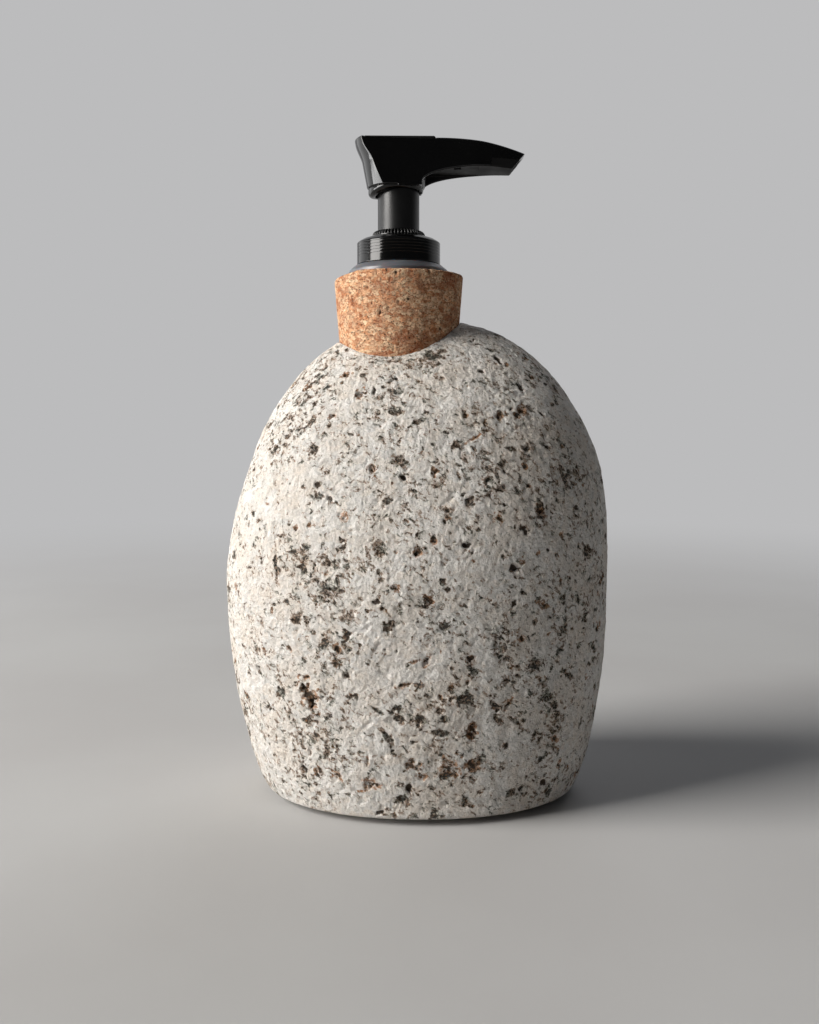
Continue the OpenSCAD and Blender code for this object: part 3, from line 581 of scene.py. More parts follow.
def makeStone():
    p = pebble
    angle = np.linspace(0, 2 * math.pi, p["columns"], endpoint=False)
    # height where the seat's cone leaves the pebble, for each column
    low = np.full(len(angle), p["baseZ"] + p["bellyH"])
    high = np.full(len(angle), p["baseZ"] + p["crownH"] - 0.01)
    for _ in range(30):
        middle = (low + high) / 2
        out = outlineRadius(angle, middle) > seatRadius(middle)
        low, high = np.where(out, middle, low), np.where(out, high, middle)
    rimZ = (low + high) / 2

    # even steps down the outside
    share = np.linspace(0, 1, 220)[:, None]
    coarseZ = rimZ + (p["baseZ"] - rimZ) * (1 - np.cos(share * math.pi / 2)) ** 0.9
    coarseR = outlineRadius(angle[None, :], coarseZ)
    steps = np.hypot(np.diff(coarseZ, axis=0), np.diff(coarseR, axis=0))
    run = np.vstack([np.zeros(len(angle)), np.cumsum(steps, axis=0)])
    chip = latticeNoise(np.stack([np.cos(angle) * 21, np.sin(angle) * 21, rimZ], -1), p["chipMm"], 5)
    chip = p["chipLeast"] + p["chipGrowth"] * np.maximum(chip - 0.15, 0)
    # a long flake is gone from the rim at the front
    turn = np.degrees(angle) - 360 * (angle > math.pi)
    chip += p["flakeReach"] * smoothStep(turn, -118, -100) * (1 - smoothStep(turn, -63, -59))
    wanted = np.linspace(0, 1, p["outsideRows"])[:, None]
    outsideZ = np.empty((p["outsideRows"], len(angle)))
    for i in range(len(angle)):
        length = run[-1, i]
        at = chip[i] + wanted[:, 0] * (length - p["arris"] - chip[i])
        outsideZ[:, i] = np.interp(at, run[:, i], coarseZ[:, i])
    outsideR = outlineRadius(angle[None, :], outsideZ)

    def ringAt(radius, z):
        return np.stack([pumpX + radius * np.cos(angle), radius * np.sin(angle), z + 0 * radius], axis=-1)

    outside = ringAt(outsideR, outsideZ)
    normals = gridNormals(outside)
    points = outside.reshape(-1, 3)
    flat = normals.reshape(-1, 3)
    count = len(points)

    # tumbled surface: slow swells, dents between grains, and a fine tooth
    push = sum(height * latticeNoise(points, size, seed) for height, size, seed in pebbleSwells)
    for depth, size, seed, full in pebbleDents:
        push -= depth * smoothStep(latticeNoise(points, size, seed), 0.4, full)

    # pit holds the dented cores of the marks, which the granite darkens as painted shade
    mica, rust, pit = np.zeros(count), np.zeros(count), np.zeros(count)
    random = np.random.default_rng(41)
    area = np.cross(np.roll(outside, -1, 1) - outside, np.gradient(outside, axis=0))
    area = np.linalg.norm(area, axis=-1).ravel()
    faceArea = area.sum()
    places = []
    front = points[:, 1] < 0
    for x, z, length, width, tilt, depth, kind in frontMarks:
        off = np.hypot(points[:, 0] - x, points[:, 2] - z) + np.where(front, 0, 1e3)
        places.append((int(np.argmin(off)), length / 2, width / 2, math.radians(tilt), depth, kind))
    shown = len(places)
    for at in random.choice(count, int(faceArea / p["mm2PerStray"]), p=area / faceArea):
        kind = random.choice(list("pmmmrrg"))
        size = random.uniform(0.5, 1.3) if random.random() < 0.85 else random.uniform(1.3, 2.6)
        if kind == "g":
            size *= 1.8
        width = size * random.uniform(0.4, 0.9)
        depth = {"p": 0.75, "m": 0.3, "r": 0.5, "g": 0.1}[kind] * random.uniform(0.5, 1.3)
        tilt = random.normal(-0.5, 0.7)
        # the face that shows keeps its own marks clear of larger strays
        if points[at, 1] < -10 and size > 1.3 and any(
                np.linalg.norm(points[at] - points[other[0]]) < 7 for other in places[:shown]):
            size, width, depth = size * 0.45, width * 0.45, depth * 0.5
        places.append((int(at), size, width, tilt, depth, kind))

    wobble = latticeNoise(points, 0.9, 21)
    wobbleWide = latticeNoise(points, 2.2, 22)
    for at, length, width, tilt, depth, kind in places:
        centre, normal = points[at], flat[at]
        reach = max(length, width) * 2.2
        near = np.flatnonzero(np.abs(points - centre).max(axis=1) < reach)
        across = np.cross([0, 0, 1.0], normal)
        across /= np.linalg.norm(across)
        if across[0] < 0 and normal[1] < 0:
            across = -across
        upward = np.cross(normal, across)
        if upward[2] < 0:
            upward = -upward
        offset = points[near] - centre
        u = offset @ across * math.cos(tilt) + offset @ upward * math.sin(tilt)
        v = -offset @ across * math.sin(tilt) + offset @ upward * math.cos(tilt)
        ratio = np.hypot(u / length, v / width) * (1 + 0.55 * wobble[near] + 0.4 * wobbleWide[near])
        core = 1 - smoothStep(ratio, 0.45, 1.05)
        halo = 1 - smoothStep(ratio, 0.2, 1.7)
        rim = 1 - smoothStep(ratio, 0.9, 1.9)
        ofMica, ofRust, ofPit = markStrength[kind]
        push[near] -= depth * core * (1 + 0.25 * wobble[near])
        mica[near] = np.maximum(mica[near], ofMica * halo)
        rust[near] = np.maximum(rust[near], ofRust * rim)
        pit[near] = np.maximum(pit[near], ofPit * core)

    # the surface stays true where the cork seats and where the base was sawn
    rowShare = np.linspace(0, 1, p["outsideRows"])[:, None] + 0 * outsideZ
    hold = smoothStep(rowShare, 0.0, 0.012) * smoothStep(1 - rowShare, 0.0, 0.02)
    hold = 0.25 + 0.75 * hold
    hold[[0, -1]] = 0
    points = points + flat * (push * hold.ravel())[:, None]
    outside = points.reshape(outside.shape)

    rings = []
    ids = []          # 0 worn outside, 1 sawn, ground or cored
    fields = []

    def addRing(ring, material, field=None):
        rings.append(ring)
        ids.append(material)
        fields.append(np.zeros((3, len(angle))) if field is None else field)

    # reservoir floor and wall, seat cone, mouth
    for radius in (0.4, 3.0, 8.0, 13.0, 16.5, p["boreR"] - 0.4):
        addRing(ringAt(np.full(len(angle), radius), p["floorZ"]), 1)
    for z in np.linspace(p["floorZ"] + 0.4, p["seatEndZ"], 40):
        addRing(ringAt(np.full(len(angle), p["boreR"]), z), 1)
    addRing(ringAt(np.full(len(angle), seatRadius(p["seatEndZ"]) - 0.1), p["seatEndZ"]), 1)
    for k in range(30):
        z = p["seatEndZ"] + 0.1 + (rimZ - p["rimRound"] - p["seatEndZ"] - 0.1) * k / 29
        addRing(ringAt(seatRadius(z), z), 1)
    sharp = ringAt(seatRadius(rimZ), rimZ)
    start = rings[-1]
    for t in (0.25, 0.5, 0.75):
        addRing(bend(start, sharp, outside[0], t), 0)
    marks = [f.reshape(outsideZ.shape) for f in (mica, rust, pit)]
    for row in range(p["outsideRows"]):
        addRing(outside[row], 0, np.stack([m[row] for m in marks]))
    # arris and sawn base
    baseR = outlineRadius(angle, np.full(len(angle), p["baseZ"]))
    edge, inner = ringAt(baseR, p["baseZ"]), ringAt(baseR - p["arris"], p["baseZ"])
    for t in (0.25, 0.5, 0.75):
        addRing(bend(outside[-1], edge, inner, t), 0)
    addRing(inner, 1)
    for shareOut in (0.85, 0.6, 0.3, 0.01):
        middle = np.array([0.0, 0.0, p["baseZ"]])
        addRing(middle + (inner - middle) * shareOut, 1)

    grid = np.array(rings)
    rows, columns = grid.shape[:2]
    faces = gridFaces(rows, columns)[:, ::-1]
    faceIds = np.repeat(np.maximum(ids[:-1], ids[1:]), columns)
    # the two tiny holes at the middle of the floor and of the base are closed with a point each
    points = grid.reshape(-1, 3)
    ends = [[pumpX, 0, p["floorZ"]], points[-columns:].mean(axis=0)]
    ring = np.arange(columns)
    nextOne = (ring + 1) % columns
    lastRow = (rows - 1) * columns
    caps = np.vstack([
        np.stack([ring, nextOne, np.full(columns, len(points))], -1),
        np.stack([lastRow + nextOne, lastRow + ring, np.full(columns, len(points) + 1)], -1)])
    onPoints = np.hstack([np.stack(fields, axis=1).reshape(3, -1), np.zeros((3, 2))])
    piece = makePiece("pebble_stone", np.vstack([points, ends]), faces, [granite, graniteCored],
                      "stone", caps=caps, materialIds=np.append(faceIds, np.ones(len(caps), int)),
                      fields=dict(zip(("mica", "rust", "pit"), onPoints)))
    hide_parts("stone_body")
    print("pebble made,", len(points) + 2, "points")


makeStone()


# ---- cork ----

corkSizes = {"taper": 4.3, "columns": 400, "rowMm": 0.34, "edge": 0.7, "plugR": 12.0, "dipMm": 0.16,
             "holes": 260, "swell": 0.5, "wear": 1.0}


def makeCorkPiece():
    c = corkSizes
    topZ, lowZ = corkHigh[2], corkLow[2]
    topR = pebble["corkR"]
    lean = math.tan(math.radians(c["taper"]))
    lowR = topR - (topZ - lowZ) * lean
    edge = c["edge"]
    side = topZ - lowZ - 2 * edge
    sideRows = int(side / c["rowMm"])
    plug = c["plugR"] + 0.1
    outline = [(plug, topZ)]
    outline += [(r, topZ) for r in np.arange(c["plugR"] + 1, topR - edge, c["rowMm"] * 1.6)]
    outline += [(topR - edge * (1 - math.sin(a)), topZ - edge * (1 - math.cos(a)))
                for a in np.radians([0, 22, 45, 68, 90])]
    outline += [(topR - (edge + side * k / sideRows) * lean, topZ - edge - side * k / sideRows)
                for k in range(1, sideRows + 1)]
    outline += [(lowR - edge * (1 - math.cos(a)), lowZ + edge * (1 - math.sin(a)))
                for a in np.radians([22, 45, 68, 90])]
    outline += [(r, lowZ) for r in np.arange(lowR - edge - 0.8, c["plugR"] + 0.6, -0.8)]
    outline += [(plug, z) for z in np.linspace(lowZ, topZ, 8)[:-1]]
    grid, faces = turned(np.array(outline), c["columns"])
    points, flat = grid.reshape(-1, 3), gridNormals(grid).reshape(-1, 3)
    shown = np.hypot(points[:, 0] - pumpX, points[:, 1]) > c["plugR"] + 0.3
    chips = latticeNoise(points, 1.5, 31) + 0.6 * latticeNoise(points, 0.8, 32)
    push = -c["dipMm"] * smoothStep(chips, -0.2, 1.1)
    holeShade = np.zeros(len(points))
    random = np.random.default_rng(52)
    wobble = latticeNoise(points, 0.6, 33)
    for at in random.choice(np.flatnonzero(shown), c["holes"]):
        centre = points[at]
        near = np.flatnonzero(np.abs(points - centre).max(axis=1) < 2.4)
        away = points[near] - centre
        tall = random.uniform(0.5, 1.6)
        ratio = np.sqrt((away[:, 0] ** 2 + away[:, 1] ** 2) / random.uniform(0.3, 0.8) ** 2
                        + (away[:, 2] / tall) ** 2) * (1 + 0.5 * wobble[near]) / random.uniform(0.6, 1.0)
        core = 1 - smoothStep(ratio, 0.3, 1.0)
        push[near] -= random.uniform(0.12, 0.4) * core
        # the hole's core is kept as a mask for its painted shade
        holeShade[near] = np.maximum(holeShade[near], core * random.uniform(0.4, 1.0))
    # the top edge is worn down on its left, and the plug has made the rest of the top swell
    out = np.hypot(points[:, 0] - pumpX, points[:, 1])
    nearTop = smoothStep(points[:, 2], topZ - 3.0, topZ - 0.2) * smoothStep(out, 17.0, 18.6)
    leftward = smoothStep(-(points[:, 0] - pumpX) / np.maximum(out, 1e-6), 0.55, 0.95)
    push -= c["wear"] * smoothStep(out + points[:, 2] - topZ - topR, -2.2, 0.0) * leftward * nearTop
    points = points + flat * (push * shown)[:, None]
    points[:, 2] += c["swell"] * nearTop * (1 - leftward)
    piece = makePiece("cork_bung", points, faces[:, ::-1], cork, "stopper", fields={"holeShade": holeShade})
    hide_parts("cork_stopper")


makeCorkPiece()
print("cork made")


# ---- neck adaptor with its thread ----

adaptorLow, adaptorHigh = boxMm("neck_adaptor")
collarLow, collarHigh = boxMm("screw_collar")

thread = {"pitch": 3.175, "neckR": 10.7, "crestR": 11.85, "collarR": 12.15, "collarCrestR": 10.95,
          "turns": 1.15, "steps": 150}


def makeThread(name, rootR, crestR, startZ, turns, material, body):
    # rounded screw thread that rises against the clock and fades at both ends
    steps = thread["steps"]
    shape = [(-0.95, 0.0), (-0.42, 1.0), (0.0, 1.06), (0.42, 1.0), (0.95, 0.0), (0.0, -0.3)]
    points = []
    for i in range(steps + 1):
        t = i / steps
        angle = t * turns * 2 * math.pi
        fade = smoothStep(np.array(min(t, 1 - t) / 0.1))
        for rise, out in shape:
            radius = rootR + (crestR - rootR) * out * (fade if out > 0 else 1)
            z = startZ + thread["pitch"] * t * turns + rise * (0.4 + 0.6 * fade)
            points.append((pumpX + radius * math.cos(angle), radius * math.sin(angle), z))
    count = len(shape)
    quads = []
    for i in range(steps):
        for k in range(count):
            n = (k + 1) % count
            quads.append((i * count + k, (i + 1) * count + k, (i + 1) * count + n, i * count + n))
    if crestR > rootR:
        quads = [q[::-1] for q in quads]
    ends = [[0, 1, 2, 5], [2, 3, 4, 5]]
    last = steps * count
    ends += [[last + 2, last + 1, last, last + 5], [last + 4, last + 3, last + 2, last + 5]]
    return makePiece(name, points, quads + ends, material, body)


neckTopZ = adaptorHigh[2]
makeThread("neck_thread", thread["neckR"] - 0.05, thread["crestR"], neckTopZ - 4.35, thread["turns"], frosted,
           "stopper")
makeThread("collar_thread", thread["collarR"] + 0.05, thread["collarCrestR"],
           neckTopZ - 4.35 + thread["pitch"] / 2, 1.0, glossBlack, "collar")

adaptor = {"flangeR": (adaptorHigh[0] - adaptorLow[0]) / 2, "flangeT": 2.5, "shoulderH": 1.5,
           "shoulderR": 14.0, "neckR": 10.7, "boreR": 9.0, "plugR": 12.0, "barbH": 4.0}


def makeAdaptor():
    a = adaptor
    corkTop = corkHigh[2]
    low = adaptorLow[2]
    rim = corkTop + a["flangeT"]
    outline = [(a["boreR"], low, 0.2), (a["plugR"] - 0.8, low, 0.2)]
    barbs = int((corkTop - low - 2) // a["barbH"])
    for i in range(barbs):
        z = low + i * a["barbH"]
        outline += [(a["plugR"] - 0.6, z + 0.2, 0.1), (a["plugR"], z + a["barbH"] - 0.6, 0.1),
                    (a["plugR"] - 0.6, z + a["barbH"] - 0.2, 0.1)]
    flangeR, shoulderZ = a["flangeR"], rim + a["shoulderH"]
    outline += [(a["plugR"] - 0.6, corkTop + 0.01, 0.05), (flangeR - 0.3, corkTop + 0.01, 0.25),
                (flangeR, corkTop + 0.4, 0.4), (flangeR, rim - 0.5, 0.5), (flangeR - 0.5, rim, 0.6),
                (a["shoulderR"], shoulderZ, 0.5), (a["neckR"], shoulderZ, 0.3),
                (a["neckR"], neckTopZ, 0.4), (a["boreR"], neckTopZ, 0.3)]
    piece = lathe("neck_moulding", outline, frosted, "stopper", columns=200)
    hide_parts("neck_adaptor")


makeAdaptor()

# ---- collar and guide ring ----

collar = {"wallR": (collarHigh[0] - collarLow[0]) / 2, "boreR": 12.15, "holeR": 8.31, "topT": 0.73,
          "topDown": 0.87, "domeH": 2.03, "domeBow": 1.42, "rings": 5, "ringPitch": 0.95, "ringRise": 0.25,
          "ringLip": 0.08, "ringDepth": 0.06,
          "guideR": 8.85, "skirtDown": 0.6}


def makeCollar():
    c = collar
    low, top = collarLow[2] - c["skirtDown"], collarHigh[2] - c["topDown"]
    under, domeZ, wall = top - c["topT"], top - c["domeH"], c["wallR"]
    domeR = c["guideR"] + 0.3
    outline = [(c["boreR"], low, 0.2), (wall, low, 0.25)]
    for i in range(c["rings"] - 1, -1, -1):
        z = domeZ - 0.4 - i * c["ringPitch"]
        outline += [(wall, z - c["ringRise"], 0.1), (wall - c["ringDepth"], z, 0.02),
                    (wall, z + c["ringLip"], 0.03)]
    for k in range(13):
        a = math.pi / 2 * k / 12
        outline.append((domeR + (wall - domeR) * math.cos(a) ** c["domeBow"],
                        domeZ + c["domeH"] * math.sin(a) ** c["domeBow"], 0.12))
    outline += [(c["holeR"], top, 0.2), (c["holeR"], under, 0.1), (c["boreR"], under, 0.3)]
    piece = lathe("collar_moulding", outline, glossBlack, "collar", columns=260)
    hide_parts("screw_collar")


makeCollar()

guideLow, guideHigh = boxMm("guide_ring")
guide = {"flangeR": (guideHigh[0] - guideLow[0]) / 2, "holeR": 6.91, "sleeveR": 8.03, "rimT": 0.3,
         "rootR": 7.16, "ribs": 48, "ribOut": 0.16, "ribWide": 0.56, "sleeveLen": 4.5, "topDown": 0.42}


def makeGuide():
    g = guide
    top, low = guideHigh[2] - g["topDown"], guideLow[2]
    flangeZ = low + g["sleeveLen"]
    rimZ = flangeZ + g["rimT"]
    outline = [(g["holeR"], low, 0.1), (g["sleeveR"], low, 0.15), (g["sleeveR"], flangeZ, 0.1),
               (g["flangeR"], flangeZ, 0.08), (g["flangeR"], rimZ, 0.12), (g["rootR"], top, 0.12),
               (g["holeR"], top, 0.1)]
    piece = lathe("guide_moulding", outline, glossBlack, "pump", columns=240)
    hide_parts("guide_ring")
    # ribs: half-round, upright at the rim and bent inwards over the cone; inwards, up, lean, share of height
    rimR = g["flangeR"] - 0.3
    bends = [(-0.14, -0.06, 0.0, 0.6), (-0.14, 0.25, 0.0, 1.0), (-0.09, 0.6, 0.0, 1.0),
             (0.05, 0.95, 5.0, 1.0), (0.26, 1.27, 15.0, 1.0), (0.58, 1.54, 30.0, 1.0),
             (0.9, 1.7, 50.0, 1.0), (1.18, 1.79, 70.0, 0.8), (1.34, 1.82, 90.0, 0.2)]
    path = [(rimR - inwards, flangeZ + up, math.cos(math.radians(lean)), math.sin(math.radians(lean)), share)
            for inwards, up, lean, share in bends]
    points, quads = [], []
    across = np.linspace(-1, 1, 9)
    for rib in range(g["ribs"]):
        base = len(points)
        turn = 2 * math.pi * rib / g["ribs"]
        for r, z, outR, outZ, share in path:
            for a in across:
                rise = -0.06 + (g["ribOut"] + 0.06) * share * math.sqrt(max(1 - a * a, 0))
                side = a * g["ribWide"] / 2
                out = r + rise * outR
                points.append((pumpX + out * math.cos(turn) - side * math.sin(turn),
                               out * math.sin(turn) + side * math.cos(turn), z + rise * outZ))
        for row in range(len(path) - 1):
            for k in range(len(across) - 1):
                p = base + row * len(across) + k
                quads.append((p, p + 1, p + 1 + len(across), p + len(across)))
    makePiece("guide_ribs", points, quads, ribBlack, "pump")


makeGuide()

# ---- stem ----

stemSizes = {"outR": 6.85, "wall": 1.2, "boreR": 2.6, "innerR": 3.8, "footR": 4.5, "foot": 3.0,
             "stopT": 1.0, "stopR": 7.25, "tubeFrom": 1.4, "innerUp": 1.8}


def makeStem():
    s = stemSizes
    low, high = stemLow[2], stemHigh[2]
    outR = s["outR"]
    stopZ = low + s["foot"]
    stopTop, tubeZ = stopZ + s["stopT"], stopZ + s["tubeFrom"]
    topZ = high - s["innerUp"]
    outline = [(s["boreR"], low, 0.2), (s["footR"], low, 0.2), (s["footR"], stopZ, 0.1),
               (s["stopR"], stopZ, 0.15), (s["stopR"], stopTop, 0.15), (outR, stopTop, 0.1),
               (outR, topZ, 0.2), (outR - s["wall"], topZ, 0.2), (outR - s["wall"], tubeZ, 0.2),
               (s["innerR"], tubeZ, 0.2), (s["innerR"], high, 0.2), (s["boreR"], high, 0.2)]
    piece = lathe("stem_moulding", outline, satinBlack, "head", columns=160)
    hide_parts("stem")


makeStem()
print("neck, collar, guide ring and stem made")


# ---- pump head, worked out as one rounded form ----

headHigh = boxMm("pump_head")[1]

headSizes = {
    "topZ": headHigh[2],
    "height": 18.4,
    "skirtR": 9.05,
    "skirtRise": 3.0,
    "skirtBoreR": 7.7,
    "skirtArch": 1.6,
    "skirtSlope": 3.0,
    "bellR": 13.4,
    "bellRoll": 1.1,
    "bellBack": 0.9,
    "halfW": 8.4,
    "sideLean": 4.8,
    "reach": 41.2,
    "drop": 4.9,
    "endH": 5.1,
    "setback": 4.4,
    "endHalfW": 4.0,
    "drawX": 17.0,
    "archX": 29.0,
    "archRise": 0.4,
    "cheekT": 1.4,
    "bendX": 22.0,
    "boreR": 1.8,
    "thumbFront": 12.9,
    "thumbT": 1.2,
    "thumbBackT": 0.4,
    "thumbProud": 0.6,
    "thumbBowR": 30.0,
    "gateX": 19.2,
    "socketR": 6.95,
    "tubeSocketR": 3.9,
    "lipRound": 1.5,
    "sideRound": 0.45,
    "topRound": 0.8,
    "cellMm": 0.28,
    "padCellMm": 0.2,
}
headSizes["thumbBack"] = 0.9 - headSizes["bellBack"] - headSizes["bellR"]


def roundMeet(a, b, r):
    # intersection of two forms with a rounded edge
    return np.minimum(np.maximum(a, b), -r) + np.hypot(np.maximum(a + r, 0), np.maximum(b + r, 0))


def roundJoin(a, b, r):
    # union of two forms with a filled corner
    return np.maximum(np.minimum(a, b), r) - np.hypot(np.maximum(r - a, 0), np.maximum(r - b, 0))


def thumbEdge(x, y):
    # plan of the thumb pad, but for its two flat sides: round at the back, bowed at the front
    h = headSizes
    back = np.hypot(np.minimum(x + h["bellBack"], 0), y) + h["bellBack"] + h["thumbBack"]
    front = np.hypot(x - h["thumbFront"] + h["thumbBowR"], y) - h["thumbBowR"]
    return np.maximum(back, front)


def thumbDepth(x):
    h = headSizes
    length = h["thumbFront"] - h["thumbBack"]
    return h["thumbBackT"] + (h["thumbT"] - h["thumbBackT"]) * (x - h["thumbBack"]) / length


def sideHalf(z):
    # half width between the flat sides, which lean in towards the top; halfW is at the arch of the spout
    h = headSizes
    archZ = h["archRise"] - h["drop"] - h["endH"]
    return h["halfW"] + (archZ - z) * math.tan(math.radians(h["sideLean"]))


def headForm(x, y, z):
    h = headSizes
    z = z - h["topZ"]
    skirtZ = -h["height"]
    flat = np.abs(y) - sideHalf(z)
    # bell behind the stem's axis: a cone that rolls outward near its top
    lowZ = skirtZ + h["skirtRise"]
    tall = -0.6 - lowZ
    lowR = h["skirtR"] + 0.4
    t = np.clip((z - lowZ) / tall, 0, 1.05)
    roll = np.clip((t - 0.53) / 0.4, 0, 1)
    cone = h["bellR"] - h["bellRoll"] - lowR
    bellR = lowR + cone * t + h["bellRoll"] * roll * roll * (3 - 2 * roll)
    slope = (cone + h["bellRoll"] * 6 * roll * (1 - roll) / 0.4) / tall
    bell = (np.hypot(x + h["bellBack"], y) - bellR) / np.sqrt(1 + slope ** 2)
    bell = roundMeet(bell, lowZ - z, 0.25)
    bell = roundMeet(roundMeet(bell, z, 0.55), flat, 0.3)
    # spout: a level start, a long curve down to the upper lip, an arched underside, sides that draw in
    run = h["reach"] - h["thumbFront"]
    fall = h["drop"] - h["thumbProud"]
    backR = (run ** 2 + fall ** 2) / (2 * fall)
    along = np.clip(x - h["thumbFront"], 0, run + 3)
    topZ = -h["thumbProud"] - (backR - np.sqrt(backR ** 2 - along ** 2))
    top = (z - topZ) * np.sqrt(1 - (along / backR) ** 2)
    endLowX, endLowZ = h["reach"] - h["setback"], -h["drop"] - h["endH"]
    archX, archZ = h["archX"], endLowZ + h["archRise"]
    rootX, rootZ = h["skirtR"] - 1.4, skirtZ + h["skirtRise"] + 0.6
    u, v = (archX - x) / (archX - rootX), np.maximum(z - rootZ, 0) / (archZ - rootZ)
    q = np.sqrt(u * u + v * v) + 1e-9
    steep = np.sqrt((u / (archX - rootX)) ** 2 + (v / (archZ - rootZ)) ** 2) / q + 1e-9
    tail = np.clip((x - archX) / (endLowX - archX), 0, 1.3)
    tailZ = archZ - h["archRise"] * (1 - np.cos(math.pi / 2 * tail))
    under = np.where(x > archX, tailZ - z, (1 - q) / steep)
    draw = np.clip((x - h["drawX"]) / (h["reach"] - h["drawX"]), 0, 1.1)
    footHalf = sideHalf(skirtZ)
    planHalf = footHalf - (footHalf - h["endHalfW"]) * draw ** 1.5
    half = -np.log(np.exp(-5 * planHalf) + np.exp(-5 * sideHalf(z))) / 5      # the smaller, without a crease
    slant = 1.5 * (footHalf - h["endHalfW"]) * np.sqrt(draw) / (h["reach"] - h["drawX"])
    side = (np.abs(y) - half) / np.sqrt(1 + slant ** 2)
    spout = roundMeet(under, side, h["sideRound"])
    spout = roundMeet(spout, top, h["topRound"])
    endN = np.array([h["endH"], -h["setback"]]) / math.hypot(h["endH"], h["setback"])
    end = (x - h["reach"]) * endN[0] + (z + h["drop"]) * endN[1]
    spout = roundMeet(spout, end, 0.2)
    spout = np.maximum(np.maximum(spout, -x), rootZ - 1.0 - z)
    core = np.minimum(bell, spout)
    # full round lip of the skirt, its rim arched and rising towards the spout
    archR = (h["skirtR"] ** 2 + h["skirtArch"] ** 2) / (2 * h["skirtArch"])
    rimZ = (skirtZ + (x + h["skirtR"] + h["bellBack"]) * math.tan(math.radians(h["skirtSlope"]))
            + archR - np.sqrt(np.maximum(archR ** 2 - y * y, 1)))
    lipR = np.hypot(x + h["bellBack"], y)
    lip = roundMeet(lipR - h["skirtR"], rimZ - z, h["lipRound"])
    lip = roundMeet(lip, z - (lowZ - 0.05), 0.35)
    core = np.minimum(core, lip)
    core = roundJoin(core, np.maximum(lipR - h["skirtR"] + 0.8, np.abs(z - lowZ) - 0.8), 0.1)
    # pocket between the cheeks of the arch, with the stub of the moulding gate on its ceiling
    pocketZ = archZ + h["archRise"] / 2
    pocket = roundMeet(np.abs(y) - h["halfW"] + h["cheekT"], z - pocketZ, 0.6)
    pocket = np.maximum(pocket, np.maximum(x - archX + 3, lowR + 0.3 - lipR))
    core = roundMeet(core, -np.maximum(pocket, -x), 0.35)
    gate = np.hypot((x - h["gateX"]) / 1.3, y + 4.6)
    core = np.minimum(core, roundMeet(gate - 0.9, np.abs(z - pocketZ) - 0.9, 0.3))
    # hollows: skirt bore, stem socket, soap channel, thumb pad seat
    outR = np.hypot(x, y)
    core = roundMeet(core, -np.maximum(outR - h["skirtBoreR"], z - lowZ), 0.3)
    socketZ = stemHigh[2] + 0.1 - h["topZ"]
    core = np.maximum(core, -np.maximum(outR - h["socketR"], z - socketZ + stemSizes["innerUp"]))
    core = np.maximum(core, -np.maximum(outR - h["tubeSocketR"], z - socketZ))
    bendX, bendZ = h["bendX"], -h["thumbT"] - 2 * h["boreR"]
    core = np.maximum(core, -np.maximum(outR - h["boreR"], z - bendZ))
    core = np.maximum(core, -np.maximum(np.hypot(y, z - bendZ) - h["boreR"], np.maximum(-x, x - bendX)))
    midX, midZ = h["reach"] - h["setback"] / 2, -h["drop"] - h["endH"] / 2
    run = np.array([midX - bendX, midZ - bendZ]) / math.hypot(midX - bendX, midZ - bendZ)
    off = (x - bendX) * run[1] - (z - bendZ) * run[0]
    channel = np.maximum(np.hypot(y, off) - h["boreR"] + 0.1, -((x - bendX) * run[0] + (z - bendZ) * run[1]))
    core = roundMeet(core, -channel, 0.25)
    seat = np.maximum(thumbEdge(x, y) - 0.1, -thumbDepth(x) - z)
    return roundMeet(core, -seat, 0.1)


def thumbForm(x, y, z):
    # a wedge with pillowed edges and a shallow dish for the thumb
    h = headSizes
    z = z - h["topZ"]
    deep = thumbDepth(x)
    rim = roundMeet(thumbEdge(x, y), np.abs(y) - sideHalf(z), 0.3)
    dish = 0.18 * np.clip(1 - (x / 11.0) ** 2 - (y / 6.4) ** 2, 0, 1)
    pad = roundMeet(rim, z + dish, np.clip(0.75 * deep, 0.2, 0.9))
    return roundMeet(pad, 0.03 - deep - z, 0.08)


